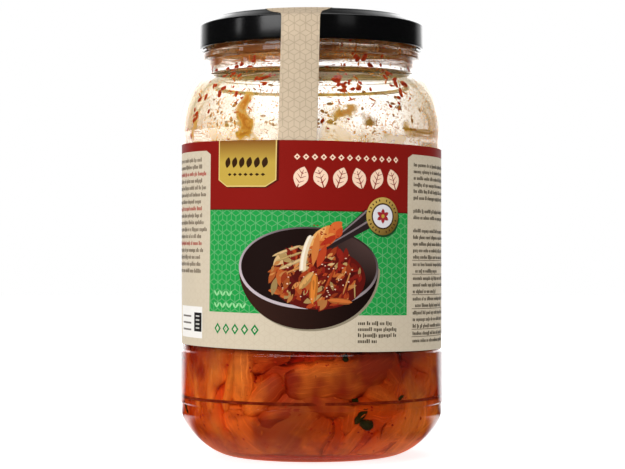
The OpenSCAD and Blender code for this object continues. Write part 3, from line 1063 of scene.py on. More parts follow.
@dataclass
class LabelArt:
    """The generic print: fields of colour, greeked lines, a pictured bowl and ornaments."""

    sheet: LabelSheet
    red: Colour = srgb(138, 22, 15)
    red_dark: Colour = srgb(84, 16, 12)
    green: Colour = srgb(33, 155, 70)
    cream: Colour = srgb(250, 214, 186)
    grey_ink: Colour = srgb(122, 108, 90)
    dark_ink: Colour = srgb(84, 74, 58)
    left: float = -45.5
    right: float = 42.0
    band_low: float = 54.6
    side_top: float = 78.0
    green_low: float = 14.2
    seed: int = 20

    def __post_init__(self) -> None:
        """Start the run and its random source."""
        self.run = PrintRun(self.sheet)
        self.draw = random.Random(self.seed)

    def fields(self) -> None:
        """Red band over green field, with cream side panels cut into the red."""
        end, top, chamfer_s, low = self.sheet.half, self.sheet.height, 2.7, self.side_top - 1.5
        self.run.add([
            (-end, self.side_top), (self.left - chamfer_s, self.side_top), (self.left, low),
            (self.left, self.band_low), (self.right, self.band_low), (self.right, low),
            (self.right + chamfer_s, self.side_top), (end, self.side_top), (end, top), (-end, top),
        ], self.red, Layer.FIELD)
        self.run.box(self.left, self.green_low, self.right, self.band_low, self.green, Layer.FIELD, lattice=1.0)
        self.run.box(self.left, self.band_low - 0.2, self.right, self.band_low + 0.2, self.red_dark, Layer.SHADE)

    def row(self, start: Vec2, pitch: float, count: int, outline: Callable[..., list[Vec2]], *coats: tuple) -> None:
        """A row of equal ornaments, each drawn once for every (size, paint, layer)."""
        for number in range(count):
            for size, paint, layer in coats:
                self.run.add(outline((start[0] + number * pitch, start[1]), *size), paint, layer)

    def badge(self) -> None:
        """Gold badge hanging from the top edge, with a dark shade and dark ornaments."""
        left, right, low, top = -40.4, -14.5, 63.7, self.sheet.height

        def loop(grow: float, shift: float = 0.0) -> list[Vec2]:
            """Badge outline, grown or shrunk by an amount."""
            first, last, corner = left - grow + shift, right + grow + shift, low + 2.6 - grow * 0.4
            foot = [(left + 4.2 + shift, low - grow), (right - 4.2 + shift, low - grow)]
            return [(first, top), (first, corner), *foot, (last, corner), (last, top)]

        gold = shaded(srgb(136, 84, 32), srgb(196, 164, 70), lambda s, t: (top - t) / 8.5)
        self.run.add(loop(0.7, 0.5), self.red_dark, Layer.SHADE)
        self.run.add(loop(0.25), srgb(226, 196, 120), Layer.BORDER)
        self.run.add(loop(-0.25), gold, Layer.FACE)
        ink = srgb(58, 34, 14)
        self.row((left + 4.6, 73.0), 3.35, 6, leaf, ((1.25, 2.2, 14.0), ink, Layer.RIM))
        self.row((left + 5.6, 68.3), 2.5, 7, lozenge, ((0.95, 0.62), ink, Layer.RIM))

    def title(self) -> None:
        """Cream ornaments: a row of small lozenges over a row of veined leaves."""
        self.row((-6.2, 75.3), 3.45, 13, lozenge,
                 ((1.25, 1.25), self.cream, Layer.TEXT), ((0.5, 0.5), self.red, Layer.BORDER))
        for number in range(6):
            middle, lean = (-4.6 + number * 7.7, 67.4), -18.0 if number % 2 else 18.0
            self.run.add(leaf(middle, 2.9, 4.3, lean), self.cream, Layer.TEXT)
            self.veins(middle, 4.3, lean)

    def veins(self, middle: Vec2, rise: float, lean: float) -> None:
        """Red midrib and side veins of one title leaf."""
        strokes = [((0.0, -rise), (0.0, rise * 0.7), 0.5)]
        for number in range(3):
            low = -rise * 0.5 + number * rise * 0.42
            strokes += [((0.0, low), (side * 1.7, low + 1.25), 0.34) for side in (-1.0, 1.0)]
        for start, end, width in strokes:
            self.run.add(taper(*leaned(middle, lean, (start, end)), width / 2, width / 5), self.red, Layer.BORDER)

    def small_print(self, left: float, right: float, middle: float, size: float, paint: Colour) -> None:
        """One greeked line: small blocks in word groups, with no letter shapes."""
        place, low = left, middle - size * 0.5
        while place < right - size:
            for _ in range(self.draw.randint(2, 8)):
                width = size * self.draw.uniform(0.26, 0.44)
                tall = self.draw.choice((0.68, 0.68, 0.72, 1.0))
                drop = -0.22 if self.draw.random() < 0.12 else 0.0
                if place + width > right:
                    break
                self.run.box(place, low + drop * size, place + width, low + tall * size, paint, Layer.TEXT)
                place += width + size * 0.17
            place += size * 0.38

    def side_columns(self) -> None:
        """Greeked columns on both cream side panels and round the back."""
        red_ink = srgb(176, 74, 62)
        for line in range(17):
            right = -47.6 - (0.0 if line in (2, 5, 10) else self.draw.uniform(0.5, 4.0))
            self.small_print(-82.0, right, 74.6 - line * 2.78, 1.65, red_ink if line in (2, 7, 12) else self.grey_ink)
        self.run.box(-74.0, 3.2, -50.4, 15.8, srgb(240, 236, 230), Layer.SHADE)
        self.run.box(-57.0, 5.8, -50.9, 13.4, srgb(40, 36, 36), Layer.TEXT)
        for count, left, right, low, pitch, rise, paint in (
            (4, -55.6, -52.6, 6.9, 1.6, 0.6, srgb(200, 196, 190)),
            (3, -71.0, -60.0, 6.0, 2.7, 0.7, srgb(120, 112, 106)),
        ):
            for foot in (low + number * pitch for number in range(count)):
                self.run.box(left, foot, right, foot + rise, paint, Layer.BORDER)
        self.ruled_column(45.6, 82.0, ((6, 0), (2, 1), (5, 1), (2, 3), (3, 2), (2, 3), (3, 2), (1, 2), (1, 2)))
        self.nutrition_table(88.0, 128.0)
        self.ruled_column(-128.0, -88.0, ((8, 0), (7, 1), (5, 2), (4, 1)))
        self.ruled_column(132.0, 160.0, ((5, 0), (5, 1), (5, 2), (5, 1)))
        self.ruled_column(-160.0, -132.0, ((7, 0), (8, 1), (7, 1)))

    def ruled_column(self, left: float, right: float, groups: Sequence[tuple[int, int]]) -> None:
        """A column of lines in groups, each group after a gap (1) or a thin rule (2, 3)."""
        middle = 74.0
        for lines, lead in groups:
            if lead == 1:
                middle -= 2.6
            elif lead > 1:
                self.run.box(left - 0.6, middle + 1.15, right, middle + 1.4, self.grey_ink, Layer.TEXT)
                middle -= 0.3
            for line in range(lines):
                if middle < 3.0:
                    return
                indent = 1.5 if lead == 3 and line else 0.0
                short = (4.0, 22.0) if line == lines - 1 and lines > 1 else (0.0, 3.0)
                self.small_print(left + indent, right - self.draw.uniform(*short), middle, 1.5, self.dark_ink)
                middle -= 2.62

    def nutrition_table(self, left: float, right: float) -> None:
        """A ruled table of greeked rows on the side away from the front."""
        for low in (58.0 - row * 3.4 for row in range(10)):
            self.run.box(left, low - 0.12, right, low + 0.12, self.dark_ink, Layer.TEXT)
            self.small_print(left + 1.0, left + self.draw.uniform(12.0, 24.0), low + 1.75, 1.5, self.dark_ink)
            self.small_print(right - 9.0, right - self.draw.uniform(1.0, 4.0), low + 1.75, 1.5, self.dark_ink)
        self.small_print(left, right - 8.0, 66.0, 2.2, self.red)
        self.small_print(left, right - 3.0, 71.5, 1.5, self.dark_ink)
        for line in range(5):
            self.small_print(left, right - self.draw.uniform(0.0, 9.0), 20.5 - line * 2.6, 1.5, self.grey_ink)

    def lower_notes(self) -> None:
        """Greeked note right of the bowl, and green and cream ornaments left of it."""
        for line, length in enumerate((15.8, 18.4, 17.4, 8.2)):
            self.small_print(19.0, 19.0 + length, 11.2 - line * 2.33, 1.5, self.dark_ink)
        self.row((-40.4, 7.7), 4.55, 5, lozenge, ((1.75, 2.2), srgb(28, 132, 66), Layer.TEXT),
                 ((0.9, 1.15), srgb(216, 204, 180), Layer.BORDER))
        for level, count in ((21.6, 3), (17.0, 5)):
            for number in range(count):
                for lean, shift in ((-35.0, -0.75), (35.0, 0.75)):
                    middle = (-41.0 + number * 3.3 + shift, level)
                    self.run.add(leaf(middle, 0.42, 1.35, lean), srgb(150, 214, 150), Layer.TEXT)

    def medallion(self) -> None:
        """Gold roundel with a white face and a plain six-petal flower."""
        middle, dark = (29.1, 53.0), srgb(70, 48, 26)
        foil = shaded(srgb(112, 84, 32), srgb(206, 172, 88),
                      lambda s, t: 0.5 + (t - middle[1]) / 18.0 - (s - middle[0]) / 22.0)
        for at, reach, paint, layer, sides in (
            ((middle[0] + 0.4, middle[1] - 0.7), 7.5, srgb(30, 70, 36), Layer.SEAL_SHADE, 48),
            (middle, 7.4, foil, Layer.SEAL_EDGE, 48), (middle, 5.15, dark, Layer.SEAL_RING, 40),
            (middle, 4.55, srgb(226, 222, 224), Layer.SEAL_FACE, 40),
        ):
            self.run.ellipse(at, reach, reach, paint, layer, sides)
        ring = (6.3, [15.0 * i for i in range(24) if i % 6], (0.3, 0.55), dark, Layer.SEAL_RING)
        flower = (1.55, [60.0 * i + 30.0 for i in range(6)], (0.8, 1.4), srgb(160, 40, 48), Layer.SEAL_MARK)
        for reach, angles, size, paint, layer in (ring, flower):
            for angle in angles:
                c, n = math.cos(math.radians(angle)), math.sin(math.radians(angle))
                self.run.add(leaf((middle[0] + reach * c, middle[1] + reach * n), *size, 90.0 - angle), paint, layer)
        self.run.ellipse(middle, 0.75, 0.75, srgb(196, 160, 62), Layer.SEAL_MARK, 16, lift=0.01)

    def bowl(self) -> None:
        """A dark stoneware bowl seen from above its rim."""
        middle, reach, rise, depth = (-1.2, 32.3), 28.6, 15.9, 23.8

        def off(along: float) -> float:
            """Place across the bowl, from -1 to 1."""
            return (along - middle[0]) / reach

        stone = shaded(srgb(58, 32, 24), srgb(18, 8, 7), lambda s, t: off(s) * 0.5 + 0.5)
        well = shaded(srgb(32, 17, 14), srgb(88, 66, 62), lambda s, t: held(off(s)) * held((t - 26.0) / 16.0))
        rim = shaded(srgb(52, 36, 34), srgb(196, 182, 186),
                     lambda s, t: 0.55 - off(s) * 0.35 - (t - middle[1]) / rise * 0.45)
        below = [(middle[0] + reach * math.cos(a), middle[1] + depth * math.sin(a) * (1.0 if math.sin(a) < 0 else 0.2))
                 for a in (math.pi * 2 * i / 72 for i in range(72))]
        self.run.add([(s + 0.8, t - 0.7) for s, t in below], srgb(150, 138, 116), Layer.SHADE)
        self.run.add(below, stone, Layer.FACE)
        self.run.ellipse(middle, reach, rise, rim, Layer.RIM, 72)
        self.run.ellipse((middle[0] + 0.1, middle[1] + 0.25), reach - 1.0, rise - 0.9, well, Layer.WELL, 72)

    def food(self) -> None:
        """A heap of dressed cabbage in the bowl, from overlapping strips, leaves and dabs."""
        heap = [srgb(176, 66, 30), srgb(196, 98, 44), srgb(144, 34, 22), srgb(206, 134, 72),
                srgb(92, 20, 14), srgb(192, 156, 98), srgb(216, 180, 126)]
        middle, reach, rise = (2.2, 28.8), 19.0, 12.6
        self.run.ellipse((middle[0] + 0.6, middle[1] - 0.6), reach, rise - 0.6, srgb(96, 20, 14), Layer.FOOD, 36)
        for number in range(230):
            angle = self.draw.uniform(0, 2 * math.pi)
            spread = math.sqrt(self.draw.random())
            s = middle[0] + reach * spread * math.cos(angle) * 0.94
            t = middle[1] + rise * spread * math.sin(angle) * 0.93
            right = (s - middle[0]) / reach * 0.5 + 0.5
            weights = (3, 4 - 3 * right, 3 + 3 * right, 2.5 - 2 * right, 1 + 3 * right, 2 - 1.6 * right, 1.2 - right)
            pick = self.draw.choices(heap, weights=weights)[0]
            length = self.draw.uniform(0.9, 3.4) * (1.25 - 0.5 * right)
            lean = self.draw.gauss(42.0, 38.0)
            shade = self.draw.uniform(0.6, 1.1)
            self.run.add(leaf((s, t), length * self.draw.uniform(0.22, 0.5), length, lean),
                         tuple(min(1.0, channel * shade) for channel in pick), Layer.FOOD,
                         lift=0.008 + number * 0.00012)
        for start, end, width, paint in (
            ((-15.5, 36.5), (-4.0, 41.0), 1.3, heap[6]), ((-14.0, 34.6), (-3.0, 38.6), 1.1, heap[5]),
            ((-12.5, 31.5), (-1.0, 36.8), 1.4, heap[6]), ((-10.0, 30.0), (0.0, 34.2), 1.0, heap[3]),
            ((0.8, 18.2), (1.6, 30.5), 3.2, srgb(222, 130, 50)), ((-4.5, 24.0), (1.0, 30.8), 3.0, srgb(214, 160, 92)),
            ((6.5, 20.0), (16.5, 19.2), 2.4, srgb(206, 112, 52)), ((5.0, 23.0), (9.5, 33.0), 1.2, heap[0]),
            ((12.5, 22.0), (15.5, 31.0), 0.7, heap[3]), ((17.5, 20.5), (17.2, 27.0), 0.6, heap[5]),
        ):
            self.strip(start, end, width, paint)
        spread_s, spread_t = 0.8 * reach, (-0.7 * rise, 0.6 * rise)
        self.dabs(34, middle, (-spread_s, spread_s), spread_t, (0.42, 0.3), srgb(240, 206, 176), Layer.FOOD, 0.038)

    def dabs(
        self, count: int, middle: Vec2, along: Vec2, up: Vec2, most: Vec2, paint: Colour, layer: Layer, lift: float
    ) -> None:
        """Small round dabs strewn over a part of the picture."""
        for _ in range(count):
            place = (middle[0] + self.draw.uniform(*along), middle[1] + self.draw.uniform(*up))
            size = (self.draw.uniform(0.2, most[0]), self.draw.uniform(0.15, most[1]))
            self.run.ellipse(place, *size, paint, layer, 7, lift=lift)

    def strip(self, start: Vec2, end: Vec2, width: float, paint: Colour) -> None:
        """A pictured strip with a shaded lower half."""
        along = Vector(end) - Vector(start)
        side = Vector((-along.y, along.x)).normalized() * width / 2
        for share, lower, tone, lift in ((1.0, 1.0, 0.62, 0.037), (0.72, 0.55, 1.0, 0.039)):
            spine = [(Vector(start) + along * (i / 8), side * (math.sin(math.pi * i / 8) ** 0.4 * share))
                     for i in range(9)]
            loop = [place - out * lower for place, out in spine] + [place + out for place, out in spine[::-1]]
            self.run.add(loop, tuple(c * tone for c in paint), Layer.FOOD, lift=lift)

    def sticks(self) -> None:
        """Two dark chopsticks that lift a dressed piece out of the bowl."""
        for ends in (((6.4, 41.2), (22.6, 54.2), 0.65, 1.75), ((1.0, 37.6), (23.4, 50.2), 0.6, 1.8)):
            self.run.add(taper(*ends), srgb(44, 32, 32), Layer.STICKS)
            self.run.add(taper(*ends, 0.35, 0.8), srgb(132, 118, 120), Layer.STICKS, lift=0.004)
        for number, (middle, reach, rise, lean, paint) in enumerate((
            ((4.5, 43.6), 3.4, 7.6, 62.0, srgb(196, 92, 40)), ((6.0, 46.0), 2.6, 6.6, 66.0, srgb(222, 138, 66)),
            ((9.2, 48.2), 2.0, 3.4, 50.0, srgb(214, 104, 48)), ((2.2, 44.4), 1.6, 5.4, 40.0, srgb(232, 170, 98)),
            ((6.8, 43.2), 1.2, 4.2, 58.0, srgb(176, 48, 26)), ((10.6, 46.0), 1.3, 2.6, 30.0, srgb(196, 72, 34)),
            ((1.6, 39.6), 1.4, 6.6, 8.0, srgb(208, 120, 58)), ((4.0, 37.0), 1.5, 4.8, 20.0, srgb(186, 66, 32)),
        )):
            self.run.add(leaf(middle, reach, rise, lean), paint, Layer.LIFTED, lift=number * 0.0012)
        rib = [(-3.2 + 3.0 * (i / 10) ** 2.2, 31.0 + 13.4 * i / 10) for i in range(11)]
        for near, far, paint, lift in (
            ((-1.35, 0.0), (1.2, 0.3), srgb(230, 206, 170), 0.0105),
            ((-0.9, 0.4), (0.1, 0.6), srgb(246, 234, 214), 0.0115),
        ):
            loop = [(s + near[0], t + near[1]) for s, t in rib] + [(s + far[0], t + far[1]) for s, t in rib[::-1]]
            self.run.add(loop, paint, Layer.LIFTED, lift=lift)
        self.dabs(16, (0.0, 0.0), (0.0, 10.5), (41.5, 49.0), (0.45, 0.35), srgb(150, 26, 16), Layer.LIFTED, 0.0125)

    def build(self, ink: PrintedInk) -> bpy.types.Object:
        """Lay out the whole print and make its mesh."""
        for part in (self.fields, self.badge, self.title, self.side_columns, self.lower_notes,
                     self.bowl, self.food, self.sticks, self.medallion):
            part()
        return self.run.build("label_print", ink.build())


# --- The seal strip


@dataclass
class SealStrip:
    """Paper strip from under the label over shoulder and lid to its round tab."""

    jar: GlassJar
    lid: LugLid
    sheet: LabelSheet
    gap: float = 0.02
    thickness: float = 0.12
    width: float = 15.1
    middle: float = -5.4
    lean: float = 1.4
    tuck: float = 6.0
    flare_r: float = 6.1
    flare_h: float = 4.8
    tab_r: float = 15.0

    def path(self) -> list[Vec2]:
        """What the strip lies on, from its tucked end to the tab's far end."""
        centre = self.jar.shoulder_centre
        reach, rise = self.jar.upper_r - centre[0], self.jar.shoulder_h
        hem = (self.lid.radius, self.lid.foot + self.lid.hem_r)
        seen = ((hem[0] - centre[0]) / reach, (hem[1] - centre[1]) / rise)
        leave = math.atan2(seen[1], seen[0]) - math.acos(1 / math.hypot(*seen))
        points = [(self.jar.panel_r, self.sheet.high - self.tuck), (self.jar.panel_r, self.jar.panel_top)]
        points += arc(centre, reach, rise, 0.0, math.degrees(leave), 12)
        points += [hem] + softened(self.lid.crown(), 0.6)
        points.append((self.lid.radius - self.tab_r * 2 - 1.0, self.lid.top - self.lid.panel_drop))
        return points

    def dense_path(self, step: float = 0.7) -> list[Vec2]:
        """The same path with a point at least every step."""
        points = self.path()
        dense = [points[0]]
        for a, b in zip(points, points[1:]):
            count = max(1, math.ceil(math.dist(a, b) / step))
            dense += [tuple(p + (q - p) * i / count for p, q in zip(a, b)) for i in range(1, count + 1)]
        return dense

    def edges(self, radius: float, height: float) -> tuple[float, float] | None:
        """Angles of the strip's two edges at a place on its path, or None past its end."""
        middle = self.middle + (height - self.sheet.high) * math.tan(math.radians(self.lean))
        low = self.lid.top - self.flare_h
        rise = min(max(height - low, 0.0), self.flare_h)
        half = self.width / 2 + self.flare_r - math.sqrt(self.flare_r ** 2 - rise ** 2)
        left = right = None
        if radius > self.lid.radius - 5.2:
            left, right = math.asin((middle - half) / radius), math.asin((middle + half) / radius)
        if height > self.lid.skirt_top + 0.4:
            centre = Vector((middle, self.tab_r - self.lid.radius + 0.8))
            cosine = (radius ** 2 + centre.length_squared - self.tab_r ** 2) / (2 * radius * centre.length)
            if abs(cosine) < 1.0:
                turn, spread = math.atan2(centre.x, -centre.y), math.acos(cosine)
                left = turn - spread if left is None else min(left, turn - spread)
                right = turn + spread if right is None else max(right, turn + spread)
        return None if left is None else (left, right)

    def build(self, paper: LatticePaper, columns: int = 18) -> bpy.types.Object:
        """Make the strip."""
        path = self.dense_path()
        front, back, places = [], [], []
        travelled = 0.0
        for before, (radius, height), after in zip(path[:1] + path, path, path[1:] + path[-1:]):
            travelled += math.dist(before, (radius, height))
            edges = self.edges(radius, height)
            if edges is None:
                break
            along = Vector(after) - Vector(before)
            out = Vector((along.y, -along.x)).normalized()
            angles = [edges[0] + (edges[1] - edges[0]) * column / columns for column in range(columns + 1)]
            places += [(angle * radius, travelled) for angle in angles]
            for side, lift in ((front, self.gap + self.thickness), (back, self.gap)):
                side.append([on_wall(radius + out.x * lift, angle, height + out.y * lift) for angle in angles])
        piece = sheet_solid("seal_strip_paper", front, back)
        mark_places(piece, places * 2)
        return fix(piece, Slot.STRIP, paper.build(), "seal_strip")


# --- The kimchi


class Cut(Enum):
    """How a cabbage piece was cut."""

    RIB = "rib"
    LEAF = "leaf"


@dataclass
class CabbagePiece:
    """One cut piece, bent to lie against the inside of the wall or on top of the heap."""

    cut: Cut
    length: float
    width: float
    thickness: float
    angle: float
    height: float
    depth: float
    turn: float
    curl: float
    tone: Colour
    seed: float

    def surface(self, u: float, v: float, side: float) -> tuple[float, float, float]:
        """Place of a surface point as (along the wall, up, depth), all in millimetres."""
        end = (1.0 - abs(u) ** 4) ** 0.5
        ragged = 1.0 + 0.4 * noise.noise(Vector((u * 2.6, self.seed, math.copysign(3.0, v))))
        across = v * self.width / 2 * end * ragged
        along = u * self.length / 2 * (1.0 + 0.06 * noise.noise(Vector((v * 2.0, self.seed, 7.0))))
        along += 0.12 * self.length * noise.noise(Vector((self.seed, 0.4, 0.0))) * v * v
        body = max(0.0, 1.0 - abs(v) ** 3) ** 0.5 * max(0.0, 1.0 - abs(u) ** 6) ** 0.5
        deep = self.curl * (v * v * self.width * 0.22 + u * u * self.length * 0.05)
        if self.cut is Cut.LEAF:
            deep += 0.9 * noise.noise(Vector((u * 2.6 + self.seed, v * 2.4, self.seed)))
            deep += 0.35 * math.sin(u * 9.0 + self.seed) * v * v
        else:
            deep += 0.25 * noise.noise(Vector((u * 2.0, v * 3.0 + self.seed, 1.0)))
        deep += side * body * self.thickness / 2
        c, s = math.cos(math.radians(self.turn)), math.sin(math.radians(self.turn))
        return (along * s + across * c, along * c - across * s, deep)


@dataclass
class KimchiFill:
    """Brine, a dark core, a painted ledge shade and the real pieces, all inside the glass."""

    jar: GlassJar
    level: float = 124.3
    top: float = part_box("kimchi")[1].z / MM
    seed: int = 7
    into_wall: float = 0.15
    window_top: float = 47.0

    def __post_init__(self) -> None:
        """Keep the inner outline and a random source."""
        self.inner = self.jar.inner_outline()
        self.draw = random.Random(self.seed)

    def inner_radius(self, height: float) -> float:
        """Radius of the inside of the glass at a height."""
        return radius_at(self.inner, height)

    def brine(self, finish: Brine) -> bpy.types.Object:
        """The brine, which reaches just into the wall, with a slightly heaving top."""
        wall = [(r, z) for r, z in self.inner if z < self.level - 1.0]
        grown = []
        for number, (r, z) in enumerate(wall):
            before, after = wall[max(number - 1, 0)], wall[min(number + 1, len(wall) - 1)]
            along = Vector(after) - Vector(before)
            out = Vector((along.y, -along.x)).normalized() * self.into_wall
            grown.append((max(r + out.x, 0.0) if r > 0 else 0.0, z + out.y))
        edge = self.jar.inner_r + self.into_wall
        grown += [(edge, self.level + 0.6), (edge - 1.0, self.level + 0.1), (edge - 2.5, self.level - 0.15)]
        grown += [(edge * i / 10, self.level - 0.2 + 0.12 * (i % 2)) for i in range(9, 0, -1)]
        grown.append((0.0, self.level - 0.2))
        piece = lathe("kimchi_brine", grown, 224)
        return fix(piece, Slot.KIMCHI, finish.build(), "kimchi")

    def core(self, finish: FoodScrap) -> bpy.types.Object:
        """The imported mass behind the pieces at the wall."""
        wall = [(max(r - 3.9, 0.0), z + 2.6) for r, z in self.inner if z < self.level - 6.0]
        reach = self.jar.inner_r - 3.9
        wall += [(reach, self.level - 2.5)] + [(reach * i / 8, self.level - 1.2) for i in range(7, 0, -1)]
        wall.append((0.0, self.level - 1.2))

        def lumpy(angle: float, radius: float, height: float) -> float:
            """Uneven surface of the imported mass."""
            spot = Vector((math.cos(angle) * radius, math.sin(angle) * radius, height)) / 9.0
            return 1.8 * noise.noise(spot) * min(1.0, radius / 20.0)

        piece = lathe("kimchi_core", wall, 128, swell=lumpy)
        return fix(piece, Slot.KIMCHI, finish.build())

    def ledge_shade(self, finish: FoodScrap) -> bpy.types.Object:
        """A thin dark band in the brine along the ledge: painted shade where the glass bends light away from it."""
        middle, half = self.jar.ledge_z + 1.9, 0.55
        rows = [middle + half * (i / 4 - 1.0) for i in range(9)]
        outer = [(self.inner_radius(z) - 0.1 - 0.05 * abs(z - middle), z) for z in rows]
        inner = [(r - 0.25, z) for r, z in reversed(outer)]

        def uneven(angle: float, radius: float, height: float) -> float:
            """Let the line sink out of sight here and there."""
            return -0.3 * max(0.0, noise.noise(Vector((math.sin(angle) * 5.0, math.cos(angle) * 5.0, height / 3.0))))

        return fix(lathe("ledge_shade", outer + inner, 224, closed=True, swell=uneven), Slot.KIMCHI, finish.build())

    def mesh_of(self, name: str, pieces: Sequence[CabbagePiece], on_top: bool = False) -> bpy.types.Object:
        """Join cabbage pieces into one mesh, each a closed skin with its tone.

        Args:
            name: Name of the joined piece.
            pieces: The cut pieces.
            on_top: Lay them on the heap's top instead of against the wall.

        Returns:
            The joined object, not yet dressed.
        """
        vertices, faces, tones, fibres = [], [], [], []
        settled = self.on_heap if on_top else self.at_wall
        columns = 8
        for piece in pieces:
            rows = max(8, int(piece.length / 2.0))
            start, count = len(vertices), (rows + 1) * (columns + 1)
            for side, row, column in product((-1.0, 1.0), range(rows + 1), range(columns + 1)):
                u, v = 2 * row / rows - 1, 2 * column / columns - 1
                vertices.append(settled(piece, *piece.surface(u, v, side)))
                tones.append((*piece.tone, 1.0))
                fibres.append((u * piece.length / 2, v * piece.width / 2, piece.seed))
            for row, column in product(range(rows), range(columns)):
                a = start + row * (columns + 1) + column
                quad = (a, a + 1, a + columns + 2, a + columns + 1)
                faces += [quad, tuple(i + count for i in reversed(quad))]
        thing = mesh_object(name, vertices, faces, 70.0, outward=False)
        with edited(thing.data) as work:
            store = work.verts.layers.float_color.new("tone")
            drawn = work.verts.layers.float_vector.new("fibre")
            for vertex, tone, fibre in zip(work.verts, tones, fibres):
                vertex[store], vertex[drawn] = tone, fibre
            bmesh.ops.remove_doubles(work, verts=work.verts, dist=2e-5)
            bmesh.ops.recalc_face_normals(work, faces=work.faces)
        thing.data.shade_smooth()
        return thing

    def on_heap(self, piece: CabbagePiece, across: float, up: float, deep: float) -> Vector:
        """Put one surface point on top of the heap, kept inside the glass."""
        spot = Vector((math.cos(piece.angle), math.sin(piece.angle))) * piece.depth
        x, y = spot.x + across, spot.y + up
        reach, most = math.hypot(x, y), self.jar.inner_r - 0.6
        if reach > most:
            x, y = x * most / reach, y * most / reach
        return Vector((x, y, min(piece.height + deep, self.top - 0.05))) * MM

    def at_wall(self, piece: CabbagePiece, across: float, up: float, deep: float) -> Vector:
        """Put one surface point against the wall."""
        height = min(max(piece.height + up, self.jar.base_z + 1.6), self.level - 1.0)
        wall = self.inner_radius(height)
        radius = max(wall - max(piece.depth + deep, 0.06), 8.0)
        return on_wall(radius, piece.angle + across / max(wall, 20.0), height)

    def tone(self, paleness: float) -> Colour:
        """A cabbage colour from chilli-stained to pale, with some spread."""
        stained, orange, pale = (0.42, 0.03, 0.008), (0.75, 0.13, 0.02), (0.88, 0.34, 0.08)
        share = held(paleness + self.draw.uniform(-0.22, 0.22))
        first, second, part = (stained, orange, share * 2) if share < 0.5 else (orange, pale, share * 2 - 1)
        gain = self.draw.uniform(0.85, 1.1)
        return tuple(min(1.0, (a + (b - a) * part) * gain) for a, b in zip(first, second))

    def piece(self, *measures: object, paleness: float) -> CabbagePiece:
        """A piece with a drawn tone and seed."""
        return CabbagePiece(*measures, self.tone(paleness), self.draw.uniform(0, 90))

    def wall_pieces(self) -> list[CabbagePiece]:
        """Pieces against the glass where it shows: below the label and in the back gap."""
        pieces = [
            self.piece(cut, length, width, 2.4 if cut is Cut.RIB else 0.9, math.radians(angle), height, 1.4, turn, 0.3,
                       paleness=paleness)
            for angle, height, length, width, turn, paleness, cut in (
                (-8.0, 33.0, 40.0, 14.0, 84.0, 0.74, Cut.LEAF), (-50.0, 32.0, 30.0, 7.0, 6.0, 0.5, Cut.RIB),
                (-62.0, 30.0, 26.0, 6.0, -8.0, 0.4, Cut.RIB), (-38.0, 33.0, 28.0, 6.0, 14.0, 0.3, Cut.RIB),
                (-22.0, 27.0, 24.0, 12.0, 50.0, 0.55, Cut.RIB), (18.0, 34.0, 26.0, 12.0, 60.0, 0.3, Cut.LEAF),
                (36.0, 30.0, 26.0, 13.0, 30.0, 0.2, Cut.LEAF), (6.0, 24.0, 26.0, 10.0, 100.0, 0.42, Cut.RIB),
                (-12.0, 20.0, 24.0, 9.0, 76.0, 0.5, Cut.RIB), (50.0, 27.0, 24.0, 10.0, -20.0, 0.25, Cut.RIB),
            )
        ]
        for number in range(250):
            cut = Cut.RIB if self.draw.random() < 0.45 else Cut.LEAF
            layer, height = number % 3, self.draw.uniform(9.0, self.window_top)
            low_pale = 0.28 * held((24.0 - height) / 8.0)
            angle = math.radians(self.draw.uniform(-180.0, 180.0))
            # Painted shade: dark makes the pieces towards +X, and those far to the left of the front, darker. Pieces
            # below 24 mm are paler, and deeper layers a little darker.
            dark = 0.26 * max(math.sin(angle), -0.2) + 0.7 * max(0.0, -math.sin(angle) - 0.5)
            pieces.append(self.piece(
                cut, self.draw.uniform(20.0, 42.0), self.draw.uniform(9.0, 22.0),
                self.draw.uniform(*((1.2, 2.2) if cut is Cut.RIB else (0.5, 1.0))),
                angle, height, 1.2 + layer * 0.9 + self.draw.uniform(-0.3, 0.4),
                self.draw.gauss(40.0, 45.0), self.draw.uniform(0.0, 0.7),
                paleness=0.42 - dark + low_pale - 0.06 * layer,
            ))
        pieces += [self.piece(
            Cut.RIB if number % 2 else Cut.LEAF, self.draw.uniform(12.0, 26.0), self.draw.uniform(6.0, 12.0), 1.4,
            math.pi + self.draw.uniform(-0.14, 0.14), self.draw.uniform(50.0, 120.0), 1.6,
            self.draw.gauss(0.0, 40.0), 0.3, paleness=0.45,
        ) for number in range(26)]
        return pieces

    def top_pieces(self) -> list[CabbagePiece]:
        """Pieces that lie on the heap under the head space."""
        pieces = []
        for number in range(90):
            spread = math.sqrt(self.draw.random()) * (self.jar.inner_r - 9.0)
            pieces.append(self.piece(
                Cut.LEAF if number % 3 else Cut.RIB, self.draw.uniform(14.0, 30.0), self.draw.uniform(7.0, 14.0),
                self.draw.uniform(0.7, 1.8), self.draw.uniform(-math.pi, math.pi),
                self.level + self.draw.uniform(-0.6, 1.0), spread, self.draw.uniform(0.0, 180.0),
                self.draw.uniform(-0.3, 0.3), paleness=0.42,
            ))
        return pieces

    def scallions(self) -> list[CabbagePiece]:
        """Dark green scallion cuts among the cabbage."""
        spots = [(15.2, 41.0), (18.0, 26.5), (22.5, 19.5), (-35.5, 39.5)]
        spots += [(self.draw.uniform(-180, 180), self.draw.uniform(10.0, 45.0)) for _ in range(16)]
        return [CabbagePiece(
            Cut.RIB, self.draw.uniform(3.0, 8.0), self.draw.uniform(1.6, 3.4), 0.7, math.radians(angle), height,
            1.1, self.draw.uniform(0.0, 180.0), 0.5, (0.02, 0.06, 0.01), self.draw.uniform(0, 90),
        ) for angle, height in spots]

    def build(self, brine: Brine, core: FoodScrap, shade: FoodScrap, flesh: CabbageFlesh, green: FoodScrap) -> None:
        """Make everything inside the glass up to the level."""
        self.brine(brine)
        self.core(core)
        self.ledge_shade(shade)
        skin = flesh.build()
        fix(self.mesh_of("cabbage_at_wall", self.wall_pieces()), Slot.KIMCHI, skin)
        fix(self.mesh_of("cabbage_on_top", self.top_pieces(), on_top=True), Slot.KIMCHI, skin)
        fix(self.mesh_of("scallion_cuts", self.scallions()), Slot.KIMCHI, green.build())


